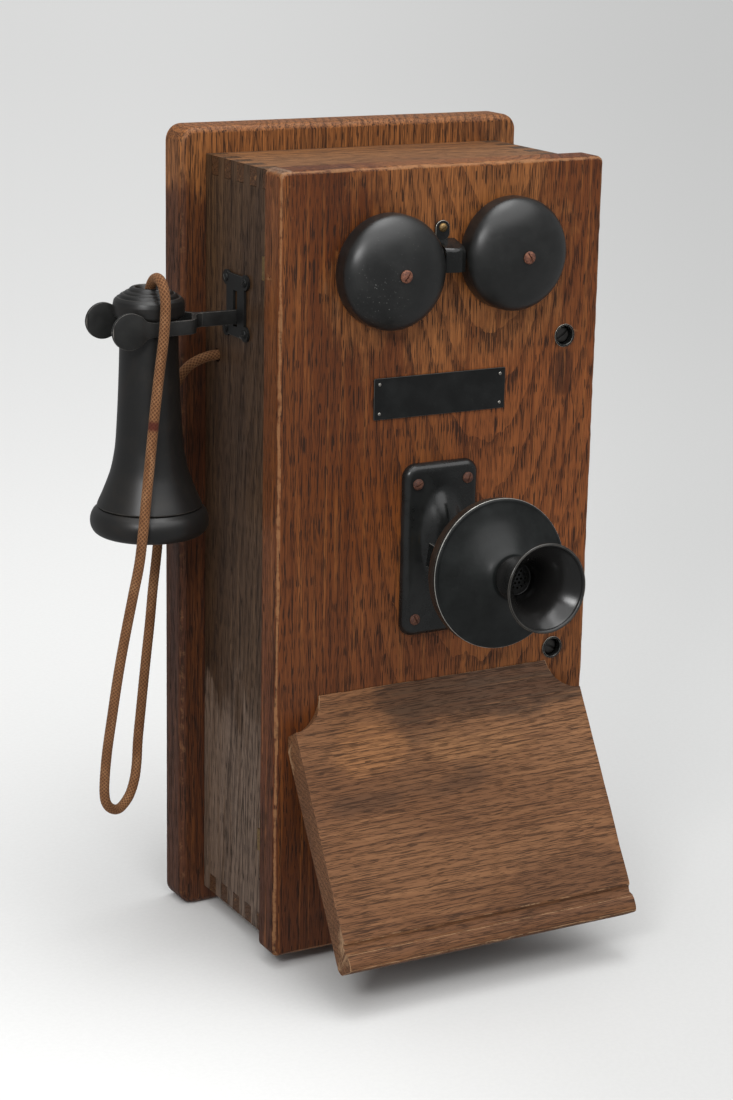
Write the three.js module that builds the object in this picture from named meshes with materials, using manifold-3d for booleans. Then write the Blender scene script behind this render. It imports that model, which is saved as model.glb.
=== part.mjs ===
// Wall telephone with a hand-cranked ringing generator: an oak box on a backboard, with a hinged front door.
// Millimetres. +X is the right-hand side of someone facing it, +Y points into the wall and +Z is up.
// The origin is the centre of the backboard's back face, where it lies on the wall.
import * as THREE from 'three';
import { mergeVertices } from 'three/addons/utils/BufferGeometryUtils.js';
import Module from 'manifold-3d';

const wasm = await Module();
wasm.setup();

// Driving dimensions.
const GAP = 0.3;                    // clearance between pieces that touch
const BOARD = { w: 261, h: 554, t: 25, corner: 11, round: 5, screwX: 60, screwZ: 228, screwR: 3.2 };
const DOOR = { w: 241, h: 530, t: 22, corner: 5, round: 3, midZ: -2.5 };
const CASE = { w: 224.5, depth: 104, top: 259.2, bottom: -263.6, wall: 12.5, fingers: 11 };
const GONG = { r: 37.3, skirt: 9, depth: 25, wall: 1.6, off: 4.5, hole: 3, postR: 5 };
const GONG_PLACES = [['left', -46, 196.8], ['right', 45.3, 203.3]];
const CLAPPER = { z: 203, pivotY: -121, ballY: -160, ballR: 3.6, rodR: 1.1, slotX: 6.5, slotZ: 3.5 };
const GUARD = {
  left: -8.6, right: 5.8, top: 214.4, frontTop: 209.8, low: 194.7, out: 17.5, sheet: 1.7,
  lugLeft: -9, lugRight: 1.4, lugTop: 226.4, lugCorner: 5,
};
const RINGER = { halfW: 42, coilX: 19, coilR: 13.5, coilTop: -74, coilH: 39.5 };
const HINGE = { upperZ: 196, lowerZ: -196, h: 46, r: 2.9, bore: 1.5, pin: 1.1, leaf: 1.3 };
const LATCH = {
  x: 94, upperZ: 143.6, lowerZ: -76, r: 7.2, shankR: 2.4, tongueFront: -121.6, tongueBack: -118.4,
};
const NAMEPLATE = { x0: -51.7, x1: 47.7, z0: 98.4, z1: 125.9, t: 1 };
const TRANSMITTER = {
  x: -1, pivotY: -179, pivotZ: 5.5, tilt: 4.8, rimR: 48.9, reach: 51, horn: 58.3, mouthR: 28.6, eyeR: 6,
  earIn: 8.3, earOut: 12, pinR: 2.2, pinHeadR: 6.2, boreR: 2.6,
  plateHalfW: 28, plateUp: 61, plateDown: 57, plateT: 6,
};
const SHELF = {
  w: 222.7, length: 182.4, t: 18, topZ: -84.2, slope: 30.5, notch: 22.5, bracketX: 50, bracketT: 8,
};
const HOOK = {
  y: -74.5, z: 158, h: 9.5, pivotX: -58, forkX: -199, prong: 20.3, strip: 2.7, padR: 12, eyeR: 6, boreR: 2.3,
  plateLow: 145, plateHigh: 186, plateHalfY: 13, plateT: 1.8, slotLow: 151.5, slotHigh: 175.5, slotHalfY: 3,
};
const RECEIVER = { x: -176, y: -74.5 };
const CRANK = {
  y: -72, z: 118, shaftR: 5, arm: 58, gearTeeth: 48, pinionTeeth: 12, module: 1.25, gearX: 88.5, gearT: 5,
  armX: 131.5, armT: 6, hubR: 10, hubL: 5, tipR: 7, pinR: 2.8, bearingR: 8,
};
const GENERATOR = {
  x0: 12, x1: 86, z0: 56, z1: 134, out: 28, sheet: 4, magnetIn: 17, magnetOut: 25, magnetFoot: 60,
};
const CELL = { r: 32, h: 150, x: 38, y: -72 };
const INDUCTION = { x: -86, length: 80, r: 15, z: 30 };
const TERMINALS = {
  x0: -86, x1: -6, z0: -42, z1: -14, t: 9, postR: 3, postsX: [-74, -57, -40, -23], postZ: -28,
};
const CORD = { d: 6.8, holeY: -43.8, holeZ: 126.6, holeR: 4.7 };

// Places worked out from them.
const BOARD_FRONT = -BOARD.t;
const DOOR_BACK = BOARD_FRONT - CASE.depth;
const DOOR_FRONT = DOOR_BACK - DOOR.t;
const CASE_X = CASE.w / 2;
const INNER_X = CASE_X - CASE.wall;
const HINGE_X = -CASE_X - HINGE.r - GAP;
const HINGE_Y = DOOR_BACK + HINGE.r + GAP;
const GEAR_R = CRANK.module * CRANK.gearTeeth / 2;
const PINION_R = CRANK.module * CRANK.pinionTeeth / 2;
const ARMATURE_Z = CRANK.z - GEAR_R - PINION_R;
const KNOB_X = CRANK.armX + CRANK.armT + 0.4;
const radians = (degrees) => degrees * Math.PI / 180;

// Finishes, one material for each piece.
const FINISHES = {
  oak: { color: 0x7a3f1d, roughness: 0.45, metalness: 0 },
  oakShelf: { color: 0x7d5130, roughness: 0.6, metalness: 0 },
  black: { color: 0x1c1e1f, roughness: 0.4, metalness: 0.3 },
  rubber: { color: 0x191a1b, roughness: 0.35, metalness: 0 },
  rusty: { color: 0x6d4433, roughness: 0.8, metalness: 0.5 },
  steel: { color: 0x8b8d8e, roughness: 0.4, metalness: 0.9 },
  brass: { color: 0x9c7a3c, roughness: 0.4, metalness: 0.9 },
  copper: { color: 0x4c6a3c, roughness: 0.7, metalness: 0 },
  magnet: { color: 0x3d4044, roughness: 0.5, metalness: 0.7 },
  card: { color: 0x8a7b55, roughness: 0.9, metalness: 0 },
  cotton: { color: 0xa4673f, roughness: 0.95, metalness: 0 },
};

const phone = new THREE.Group();

function add(name, shape, finish, parent = phone) {
  const mesh = new THREE.Mesh(shape, new THREE.MeshStandardMaterial(FINISHES[finish]));
  mesh.name = name;
  parent.add(mesh);
  return mesh;
}

// A closed geometry with merged vertices and its faces pointing out.
function closed(geometry) {
  const bare = geometry.index ? geometry.toNonIndexed() : geometry.clone();
  for (const key of Object.keys(bare.attributes)) {
    if (key !== 'position') bare.deleteAttribute(key);
  }
  const merged = mergeVertices(bare, 1e-4);
  const at = merged.attributes.position;
  const index = merged.index.array;
  const kept = [];
  let volume = 0;
  const [a, b, c] = [new THREE.Vector3(), new THREE.Vector3(), new THREE.Vector3()];
  for (let i = 0; i < index.length; i += 3) {
    const [p, q, r] = [index[i], index[i + 1], index[i + 2]];
    if (p === q || q === r || r === p) continue;
    kept.push([p, q, r]);
    const turn = b.fromBufferAttribute(at, q).cross(c.fromBufferAttribute(at, r));
    volume += a.fromBufferAttribute(at, p).dot(turn);
  }
  merged.setIndex(kept.flatMap(([p, q, r]) => (volume > 0 ? [p, q, r] : [p, r, q])));
  return merged;
}

function solid(geometry) {
  const shape = closed(geometry);
  const mesh = new wasm.Mesh({
    numProp: 3,
    vertProperties: new Float32Array(shape.attributes.position.array),
    triVerts: new Uint32Array(shape.index.array),
  });
  return new wasm.Manifold(mesh);
}

function geometryOf(body) {
  const mesh = body.getMesh();
  const geometry = new THREE.BufferGeometry();
  geometry.setAttribute('position', new THREE.BufferAttribute(mesh.vertProperties, 3));
  geometry.setIndex(new THREE.BufferAttribute(mesh.triVerts, 1));
  geometry.computeVertexNormals();
  return geometry;
}

// Joins the first list of geometries and cuts away the second.
function joined(parts, cuts = []) {
  let body = solid(parts[0]);
  for (const part of parts.slice(1)) body = body.add(solid(part));
  for (const cut of cuts) body = body.subtract(solid(cut));
  return geometryOf(body);
}

function box([x0, x1], [y0, y1], [z0, z1]) {
  const geometry = new THREE.BoxGeometry(x1 - x0, y1 - y0, z1 - z0);
  return geometry.translate((x0 + x1) / 2, (y0 + y1) / 2, (z0 + z1) / 2);
}

// Round bars between two places along an axis.
function rodX(r, x0, x1, y, z, sides = 20) {
  const geometry = new THREE.CylinderGeometry(r, r, x1 - x0, sides).rotateZ(Math.PI / 2);
  return geometry.translate((x0 + x1) / 2, y, z);
}

function rodY(r, y0, y1, x, z, sides = 20) {
  return new THREE.CylinderGeometry(r, r, y1 - y0, sides).translate(x, (y0 + y1) / 2, z);
}

function rodZ(r, z0, z1, x, y, sides = 20) {
  const geometry = new THREE.CylinderGeometry(r, r, z1 - z0, sides).rotateX(Math.PI / 2);
  return geometry.translate(x, y, (z0 + z1) / 2);
}

// A shape from its corner points, always anticlockwise so that holes cut in it face the right way.
function outline(points) {
  const corners = points.map(([u, v]) => new THREE.Vector2(u, v));
  if (THREE.ShapeUtils.isClockWise(corners)) corners.reverse();
  return new THREE.Shape(corners);
}

function roundHole(u, v, r) {
  const hole = new THREE.Path();
  hole.absarc(u, v, r, 0, 2 * Math.PI, true);
  return hole;
}

function roundedRectangle(u0, u1, v0, v1, r) {
  const shape = new THREE.Shape();
  shape.moveTo(u0 + r, v0);
  shape.lineTo(u1 - r, v0);
  shape.absarc(u1 - r, v0 + r, r, -Math.PI / 2, 0, false);
  shape.lineTo(u1, v1 - r);
  shape.absarc(u1 - r, v1 - r, r, 0, Math.PI / 2, false);
  shape.lineTo(u0 + r, v1);
  shape.absarc(u0 + r, v1 - r, r, Math.PI / 2, Math.PI, false);
  shape.lineTo(u0, v0 + r);
  shape.absarc(u0 + r, v0 + r, r, Math.PI, 1.5 * Math.PI, false);
  return shape;
}

const AXES = {
  x: new THREE.Matrix4().makeBasis(
    new THREE.Vector3(0, 1, 0), new THREE.Vector3(0, 0, 1), new THREE.Vector3(1, 0, 0)),
  y: new THREE.Matrix4().makeBasis(
    new THREE.Vector3(1, 0, 0), new THREE.Vector3(0, 0, 1), new THREE.Vector3(0, -1, 0)),
  z: new THREE.Matrix4(),
};

// Pushes an outline from a to b along an axis: drawn in YZ for x, in XZ for y and in XY for z.
function pushed(shape, axis, a, b, curveSegments = 6) {
  const options = { depth: Math.abs(b - a), bevelEnabled: false, curveSegments };
  const geometry = new THREE.ExtrudeGeometry(shape, options).applyMatrix4(AXES[axis]);
  const start = axis === 'y' ? Math.max(a, b) : Math.min(a, b);
  const move = { x: [start, 0, 0], y: [0, start, 0], z: [0, 0, start] }[axis];
  return geometry.translate(...move);
}

// A turned piece: [radius, height] points spun about Z. A ring's outline closes on itself.
function turned(profile, segments = 20, ring = false) {
  const points = (ring ? [...profile, profile[0]] : profile).map(([r, h]) => new THREE.Vector2(r, h));
  return new THREE.LatheGeometry(points, segments).rotateX(Math.PI / 2);
}

// A flat board whose front edges and corners are eased; it runs from its back face at y towards -Y.
function easedPanel({ w, h, t, corner, round }, backY, midZ) {
  const [halfW, halfH] = [w / 2 - round, h / 2 - round];
  const inset = roundedRectangle(-halfW, halfW, -halfH, halfH, corner - round + 1);
  const options = {
    depth: t, bevelEnabled: true, bevelThickness: round, bevelSize: round, bevelSegments: 2, curveSegments: 3,
  };
  const bevelled = new THREE.ExtrudeGeometry(inset, options).applyMatrix4(AXES.y);
  bevelled.translate(0, backY + round, midZ);
  const keep = box([-w, w], [backY - t, backY], [midZ - h, midZ + h]);
  return geometryOf(solid(bevelled).intersect(solid(keep)));
}

function backboard() {
  const screwHoles = [];
  for (const x of [-BOARD.screwX, BOARD.screwX]) {
    for (const z of [-BOARD.screwZ, BOARD.screwZ]) {
      screwHoles.push(rodY(BOARD.screwR, BOARD_FRONT - 1, 1, x, z, 16));
    }
  }
  add('backboard', joined([easedPanel(BOARD, 0, 0)], screwHoles), 'oak');
}

// Box joints: the edge of a board steps in and out along the depth of the case.
function fingerEdge(side, tip) {
  const front = DOOR_BACK + GAP;
  const pitch = (BOARD_FRONT - GAP - front) / CASE.fingers;
  const points = [];
  for (let i = 0; i < CASE.fingers; i += 1) {
    const out = i % 2 === (side ? 0 : 1);
    const shrink = out ? GAP / 2 : -GAP / 2;
    const level = out ? tip : tip - Math.sign(tip) * (CASE.wall + GAP);
    const start = i === 0 ? front : front + i * pitch + shrink;
    const end = i === CASE.fingers - 1 ? front + CASE.fingers * pitch : front + (i + 1) * pitch - shrink;
    points.push([start, level], [end, level]);
  }
  return points;
}

// The upright slot that the hook lever comes through, in the case's side and in its plate.
function hookSlot(halfY, low, high) {
  const [y0, y1] = [HOOK.y - halfY, HOOK.y + halfY];
  const corners = [[y0, low], [y1, low], [y1, high], [y0, high]];
  return new THREE.Path(corners.map(([y, z]) => new THREE.Vector2(y, z)));
}

function caseSides() {
  const halfH = (CASE.top - CASE.bottom) / 2;
  const midZ = (CASE.top + CASE.bottom) / 2;
  const upper = fingerEdge(true, halfH).map(([y, z]) => [y, z + midZ]);
  const lower = fingerEdge(true, -halfH).map(([y, z]) => [y, z + midZ]).reverse();
  const left = [...upper, ...lower];
  for (const z of [HINGE.upperZ, HINGE.lowerZ].reverse()) {
    const [z0, z1] = [z - HINGE.h / 2 - 0.5, z + HINGE.h / 2 + 0.5];
    const rebate = DOOR_BACK + HINGE.leaf + 3 * GAP;
    left.push([DOOR_BACK + GAP, z0], [rebate, z0], [rebate, z1], [DOOR_BACK + GAP, z1]);
  }
  const leftShape = outline(left);
  leftShape.holes.push(hookSlot(HOOK.slotHalfY + 0.6, HOOK.slotLow - 0.5, HOOK.slotHigh + 0.5));
  leftShape.holes.push(roundHole(CORD.holeY, CORD.holeZ, CORD.holeR));
  add('case_left_side', pushed(leftShape, 'x', -CASE_X, -INNER_X), 'oak');

  const rightShape = outline([...upper, ...lower]);
  rightShape.holes.push(roundHole(CRANK.y, CRANK.z, CRANK.bearingR + GAP));
  const pocketY = [LATCH.tongueFront - 1.9, LATCH.tongueBack + 2.4];
  const pockets = [LATCH.upperZ, LATCH.lowerZ].map(
    (z) => box([INNER_X - 1, INNER_X + 6], pocketY, [z - 9, z + 9]));
  add('case_right_side', joined([pushed(rightShape, 'x', INNER_X, CASE_X)], pockets), 'oak');
}

function caseEnds() {
  const ends = [
    ['case_top', CASE.top - CASE.wall, CASE.top],
    ['case_bottom', CASE.bottom, CASE.bottom + CASE.wall],
  ];
  const right = fingerEdge(false, CASE_X).map(([y, x]) => [x, y]);
  const left = fingerEdge(false, -CASE_X).map(([y, x]) => [x, y]).reverse();
  for (const [name, low, high] of ends) {
    add(name, pushed(outline([...right, ...left]), 'z', low, high), 'oak');
  }
}

function door() {
  const slab = easedPanel(DOOR, DOOR_BACK, DOOR.midZ);
  const through = [DOOR_FRONT - 1, DOOR_BACK + 1];
  const slotZ = [CLAPPER.z - CLAPPER.slotZ, CLAPPER.z + CLAPPER.slotZ];
  const cuts = [box([-CLAPPER.slotX, CLAPPER.slotX], through, slotZ)];
  for (const z of [LATCH.upperZ, LATCH.lowerZ]) {
    cuts.push(rodY(LATCH.r + GAP, DOOR_FRONT - 1, DOOR_FRONT + 9, LATCH.x, z, 16));
    cuts.push(rodY(LATCH.shankR + 0.8, DOOR_FRONT, DOOR_BACK + 1, LATCH.x, z, 16));
  }
  add('door_panel', joined([slab], cuts), 'oak');
}

// Butt hinges tucked behind the door's overhang. The knuckle is split in three: the door leaf has both ends.
function hinges() {
  const third = HINGE.h / 3;
  for (const [place, z] of [['upper', HINGE.upperZ], ['lower', HINGE.lowerZ]]) {
    const low = z - HINGE.h / 2;
    const bore = rodZ(HINGE.bore, low - 1, low + HINGE.h + 1, HINGE_X, HINGE_Y, 16);
    const barrel = (a, b) => rodZ(HINGE.r, a, b, HINGE_X, HINGE_Y, 16);
    const [from, to] = [low + third, low + 2 * third];
    const leafY = [DOOR_BACK + GAP, DOOR_BACK + GAP + HINGE.leaf];
    const doorPlate = box([HINGE_X, -INNER_X + 6], leafY, [low, low + HINGE.h]);
    const middle = box([HINGE_X - 4, HINGE_X + 4], [DOOR_BACK, DOOR_BACK + 8], [from - GAP, to + GAP]);
    const doorBarrels = [barrel(low, from - GAP), barrel(to + GAP, low + HINGE.h)];
    const doorLeaf = joined([doorPlate, ...doorBarrels], [middle, bore]);
    add(`hinge_door_leaf_${place}`, doorLeaf, 'brass');

    const casePlate = box([-CASE_X - GAP - HINGE.leaf, -CASE_X - GAP], [HINGE_Y, HINGE_Y + 13], [from, to]);
    const caseLeaf = joined([casePlate, barrel(from, to)], [bore]);
    add(`hinge_case_leaf_${place}`, caseLeaf, 'brass');
    const head = rodZ(HINGE.r, low + HINGE.h + GAP, low + HINGE.h + 2, HINGE_X, HINGE_Y, 16);
    const shank = rodZ(HINGE.pin, low + 1, low + HINGE.h + 1, HINGE_X, HINGE_Y, 16);
    add(`hinge_pin_${place}`, joined([head, shank]), 'brass');
  }
}

function gongs() {
  const { r, skirt, depth, wall, off, hole, postR } = GONG;
  const rings = 4;
  const dome = (scale, height) => {
    const points = [];
    for (let i = 0; i <= rings; i += 1) {
      const a = (Math.PI / 2) * (i / rings);
      points.push([Math.max(scale * Math.cos(a), hole), skirt + height * Math.sin(a)]);
    }
    return points;
  };
  const inner = dome(r - wall, depth - skirt - wall).reverse();
  const bowl = [[r, 0], ...dome(r, depth - skirt), ...inner, [r - wall, 0]];
  for (const [side, x, z] of GONG_PLACES) {
    const gong = turned(bowl, 24, true).rotateX(Math.PI / 2).translate(x, DOOR_FRONT - off, z);
    add(`gong_${side}`, closed(gong), 'black');
    const inside = DOOR_FRONT - off - depth + wall + GAP;
    add(`gong_post_${side}`, rodY(postR, inside, DOOR_FRONT - GAP, x, z, 20), 'steel');
    const head = turned([[0, 0], [4.2, 0], [3.8, 1.2], [2.3, 2.1], [0, 2.5]], 20).rotateX(Math.PI / 2);
    head.translate(x, DOOR_FRONT - off - depth - GAP, z);
    const shank = rodY(2.4, DOOR_FRONT - off - depth - 1, inside - GAP, x, z, 12);
    add(`gong_screw_${side}`, joined([head, shank]), 'rusty');
  }
}

// The guard over the clapper is bent from one sheet: a lug on the door, a shelf that slopes forward, and a
// hood in front, which the clapper swings behind.
function clapperGuard() {
  const { left, right, top, frontTop, low, out, sheet, lugLeft, lugRight, lugTop, lugCorner } = GUARD;
  const back = DOOR_FRONT - GAP;
  const front = back - out;
  const lug = roundedRectangle(lugLeft, lugRight, top - sheet, lugTop, lugCorner);
  const bend = [
    [back, top], [front, frontTop], [front, low], [front + sheet, low], [front + sheet, frontTop - sheet],
    [back, top - sheet],
  ];
  const parts = [pushed(lug, 'y', back, back - sheet, 5), pushed(outline(bend), 'x', left, right)];
  add('clapper_guard', joined(parts), 'black');
}

function nameplate() {
  const { x0, x1, z0, z1, t } = NAMEPLATE;
  const plate = roundedRectangle(x0, x1, z0, z1, 0.8);
  add('nameplate', pushed(plate, 'y', DOOR_FRONT - GAP, DOOR_FRONT - GAP - t, 2), 'black');
}

// Slotted turn screws in sunk cups; a quarter turn puts the tongue in its pocket in the case.
function latches() {
  for (const [place, z] of [['upper', LATCH.upperZ], ['lower', LATCH.lowerZ]]) {
    const cup = [[2.8, 8.4], [LATCH.r, 8.4], [LATCH.r, 0.2], [LATCH.r + 0.6, 0], [LATCH.r + 0.6, -0.6],
      [LATCH.r - 1.2, -0.6], [LATCH.r - 1.2, 6.8], [2.8, 6.8]];
    const ferrule = turned(cup, 16, true).rotateX(-Math.PI / 2).translate(LATCH.x, DOOR_FRONT - GAP, z);
    add(`latch_cup_${place}`, closed(ferrule), 'black');
    const tongue = roundedRectangle(LATCH.x - 4, LATCH.x + 4, z - 4, z + 9.6, 3.9);
    const parts = [
      rodY(5.4, DOOR_FRONT + 2.2, DOOR_FRONT + 6, LATCH.x, z, 16),
      rodY(LATCH.shankR, DOOR_FRONT + 3, LATCH.tongueBack + 0.4, LATCH.x, z, 12),
      pushed(tongue, 'y', LATCH.tongueFront, LATCH.tongueBack, 4),
    ];
    const slot = box([LATCH.x - 7, LATCH.x + 7], [DOOR_FRONT, DOOR_FRONT + 3.6], [z - 0.8, z + 0.8]);
    add(`latch_screw_${place}`, joined(parts, [slot]), 'steel');
  }
}

// The writing shelf slopes down and out from the door; a pencil groove and a rounded lip end it.
function writingShelf() {
  const slope = radians(SHELF.slope);
  const down = [-Math.sin(slope), -Math.cos(slope)];
  const inward = [Math.cos(slope), -Math.sin(slope)];
  const back = DOOR_FRONT - GAP;
  const at = (along, deep) => [
    back + down[0] * along + inward[0] * deep,
    SHELF.topZ + down[1] * along + inward[1] * deep,
  ];
  const L = SHELF.length;
  const lip = [];
  for (let i = 0; i <= 5; i += 1) {
    const a = Math.PI * (i / 5);
    lip.push(at(L - 6 - 6 * Math.cos(a), 1.5 - 2.5 * Math.sin(a)));
  }
  const rearTop = SHELF.t / Math.tan(slope);
  const topBack = [back, SHELF.topZ - SHELF.t / Math.sin(slope)];
  const profile = [
    at(0, 0), at(L - 18, 0), at(L - 16.5, 2.2), at(L - 13, 2.2), ...lip,
    at(L, SHELF.t - 3), at(L - 3, SHELF.t), at(rearTop + 1, SHELF.t), topBack,
  ];
  const board = pushed(outline(profile), 'x', -SHELF.w / 2, SHELF.w / 2);
  const notches = [-1, 1].map((side) => {
    const cutter = new THREE.CylinderGeometry(SHELF.notch, SHELF.notch, 3 * SHELF.t, 40);
    cutter.rotateX(-slope);
    return cutter.translate(side * SHELF.w / 2, back, SHELF.topZ);
  });
  add('writing_shelf', joined([board], notches), 'oakShelf');

  const under = (z) => back - (topBack[1] - z) * Math.tan(slope) + 3 * GAP;
  const web = [[back, -140], [back, -232], [back - 14, -232], [under(-205), -205], [under(-150), -150]];
  for (const [side, x] of [['left', -SHELF.bracketX], ['right', SHELF.bracketX]]) {
    const bracket = pushed(outline(web), 'x', x - SHELF.bracketT / 2, x + SHELF.bracketT / 2);
    add(`shelf_bracket_${side}`, bracket, 'black');
  }
}

// A pressed plate with a raised middle, and two ears that hold the transmitter's pivot.
function transmitterPlate() {
  const { x, pivotY, pivotZ, earIn, earOut, pinR, pinHeadR, boreR } = TRANSMITTER;
  const { plateHalfW, plateUp, plateDown, plateT } = TRANSMITTER;
  const back = DOOR_FRONT - GAP;
  const rolled = 3;
  const halfW = plateHalfW - rolled;
  const [low, high] = [pivotZ - plateDown + rolled, pivotZ + plateUp - rolled];
  const rim = roundedRectangle(x - halfW, x + halfW, low, high, 7);
  const bevel = {
    depth: 1, bevelEnabled: true, bevelThickness: plateT - 1, bevelSize: rolled, bevelSegments: 2,
    curveSegments: 3,
  };
  const pillow = new THREE.ExtrudeGeometry(rim, bevel).applyMatrix4(AXES.y).translate(0, back, 0);
  const keep = box([-80, 80], [back - plateT, back], [-100, 100]);
  const flat = geometryOf(solid(pillow).intersect(solid(keep)));
  const boss = turned([[0, 0], [20, 0], [18, 6], [12, 11], [0, 11.5]], 16).rotateX(Math.PI / 2);
  boss.scale(1, 1, 1.5).translate(x, back - 4, pivotZ + 2);
  const ears = [-1, 1].map((side) => {
    const inner = side > 0 ? [x + earIn, x + earOut] : [x - earOut, x - earIn];
    return joined([
      box(inner, [pivotY, back - 3], [pivotZ - 7, pivotZ + 7]),
      rodX(7, inner[0], inner[1], pivotY, pivotZ, 20),
    ]);
  });
  const clear = rodX(9.5, x - earIn, x + earIn, pivotY, pivotZ, 24);
  const bore = rodX(boreR, x - 14, x + 14, pivotY, pivotZ, 16);
  add('transmitter_plate', joined([flat, boss, ...ears], [clear, bore]), 'black');
  const head = rodX(pinHeadR, x - earOut - 3.5, x - earOut - GAP, pivotY, pivotZ, 16);
  const shank = rodX(pinR, x - 13, x + 14, pivotY, pivotZ, 16);
  add('transmitter_pivot_screw', joined([head, shank]), 'brass');
}

// The transmitter is built pointing along +Z about its pivot, then turned to point out of the door.
function transmitter() {
  const { x, pivotY, pivotZ, tilt, rimR, reach, horn, mouthR, eyeR, boreR } = TRANSMITTER;
  const head = new THREE.Group();
  head.position.set(x, pivotY, pivotZ);
  head.rotation.x = Math.PI / 2 - radians(tilt);
  phone.add(head);

  const cupBack = reach - 34;
  const cup = turned([
    [4, cupBack], [20, cupBack + 1], [39, cupBack + 14], [45, cupBack + 22], [48.3, cupBack + 28],
    [48.3, reach - 0.5], [46.5, reach - 0.5], [43, cupBack + 24], [37.5, cupBack + 16], [19, cupBack + 3.5],
    [4, cupBack + 3],
  ], 24, true);
  const lug = joined([
    box([-8, 8], [-eyeR, eyeR], [0, cupBack + 3]),
    rodX(eyeR, -8, 8, 0, 0, 20),
    new THREE.CylinderGeometry(12, 9, 4, 24).rotateX(Math.PI / 2).translate(0, 0, cupBack + 1),
  ], [rodX(boreR, -9, 9, 0, 0, 16)]);
  add('transmitter_cup', joined([cup, lug]), 'black', head);

  const face = turned([
    [8.2, reach + 15], [8.2, reach + 17.5], [15, reach + 17.5], [19, reach + 14.6], [29, reach + 8.6],
    [44, reach + 3.4], [rimR, reach + 1.4], [rimR, reach], [46, reach], [43, reach + 1.6], [18, reach + 11.5],
    [15, reach + 15],
  ], 24, true);
  add('transmitter_face', closed(face), 'black', head);

  const lip = reach + horn;
  const neck = reach + 17.8;
  const mouthpiece = turned([
    [6.2, reach + 11], [7.8, reach + 11], [7.8, neck], [13.5, neck], [14.6, neck + 4], [14.2, neck + 13],
    [16.6, neck + 21.5], [21, neck + 30], [mouthR, lip - 1], [mouthR - 0.8, lip], [mouthR - 2, lip - 0.8],
    [18.6, neck + 30], [14.2, neck + 21.5], [11.6, neck + 13], [11, neck + 4.5], [6.2, neck + 3],
  ], 20, true);
  add('mouthpiece', closed(mouthpiece), 'rubber', head);

  const diaphragm = turned([[0, reach - 2.6], [43, reach - 2.6], [43, reach - 2], [0, reach - 2]], 20);
  const button = turned([[0, reach - 16], [13, reach - 16], [13, reach - 4], [3, reach - 4], [3, reach - 2.3],
    [0, reach - 2.3]], 16);
  add('carbon_button', joined([diaphragm, button]), 'brass', head);
}

// The bell ringer behind the door: iron frame, two coils and the rocking armature that carries the clapper.
function ringer() {
  const { z, pivotY, ballY, ballR, rodR } = CLAPPER;
  const { halfW, coilX, coilR, coilTop, coilH } = RINGER;
  const back = DOOR_BACK + GAP;
  const yoke = [z - 11, z + 11];
  const frame = joined([
    box([-halfW, halfW], [back, back + 2], [z - 17, z + 17]),
    box([-halfW, -halfW + 2.5], [back, coilTop + 4], yoke),
    box([halfW - 2.5, halfW], [back, coilTop + 4], yoke),
    box([-halfW, halfW], [coilTop, coilTop + 4], yoke),
    box([-3.5, 3.5], [back, pivotY + 3.5], [z + 9, z + 12]),
    box([-3.5, 3.5], [back, pivotY + 3.5], [z - 12, z - 9]),
  ], [box([-7, 7], [back - 1, back + 3], [z - 5, z + 5])]);
  add('ringer_frame', frame, 'steel');
  const [cheek, core] = [2, 5];
  const spoolEnd = coilH - 2.5;
  const spool = [
    [0, 0], [coilR, 0], [coilR, cheek], [coilR - 2, cheek], [coilR - 2, spoolEnd - cheek],
    [coilR, spoolEnd - cheek], [coilR, spoolEnd], [core, spoolEnd], [core, coilH], [0, coilH],
  ];
  for (const [side, x] of [['left', -coilX], ['right', coilX]]) {
    const coil = turned(spool, 16).rotateX(Math.PI / 2).translate(x, coilTop - GAP, z);
    add(`ringer_coil_${side}`, closed(coil), 'copper');
  }
  const clapper = joined([
    box([-30, 30], [pivotY - 1.3, pivotY + 1.3], [z - 4.5, z + 4.5]),
    rodZ(2.4, z - 8.6, z + 8.6, 0, pivotY, 12),
    rodY(rodR, ballY + 2, pivotY, 0, z, 10),
    new THREE.SphereGeometry(ballR, 12, 8).translate(0, ballY, z),
  ]);
  add('clapper', clapper, 'brass');
}

function hookPlate() {
  const { y, plateLow, plateHigh, plateHalfY, plateT, slotLow, slotHigh, slotHalfY } = HOOK;
  const outer = -CASE_X - GAP;
  const plate = roundedRectangle(y - plateHalfY, y + plateHalfY, plateLow, plateHigh, 2);
  plate.holes.push(hookSlot(slotHalfY, slotLow, slotHigh));
  const parts = [pushed(plate, 'x', outer - plateT, outer, 3)];
  for (const earY of [y - plateHalfY - 0.5, y + plateHalfY + 0.5]) {
    for (const earZ of [plateLow + 3.5, plateHigh - 3.5]) {
      parts.push(rodX(5, outer - plateT, outer, earY, earZ, 16));
    }
  }
  add('hook_plate', joined(parts), 'black');
}

// The hook lever: a flat bar that splits into a fork, with a round pad on the end of each prong.
function hookLever() {
  const { y, z, h, pivotX, forkX, prong, strip, padR, eyeR, boreR } = HOOK;
  const half = 1.6;
  const outer = prong + strip;
  const side = [
    [-30, half], [-141, half], [-154, outer], [forkX, outer], [forkX, prong], [-156, prong], [-147, 0],
  ];
  const mirrored = side.slice(0, -1).reverse().map(([a, b]) => [a, -b]);
  const fork = [...side, ...mirrored].map(([a, b]) => [a, b + y]);
  const parts = [pushed(outline(fork), 'z', z - h / 2, z + h / 2)];
  for (const s of [-1, 1]) {
    const [a, b] = [y + s * prong, y + s * outer];
    parts.push(rodY(padR, Math.min(a, b), Math.max(a, b), forkX, z, 24));
  }
  parts.push(rodY(eyeR, y - 2.6, y + 2.6, pivotX, z, 20));
  add('hook_lever', joined(parts, [rodY(boreR, y - 4, y + 4, pivotX, z, 16)]), 'black');
}

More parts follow.
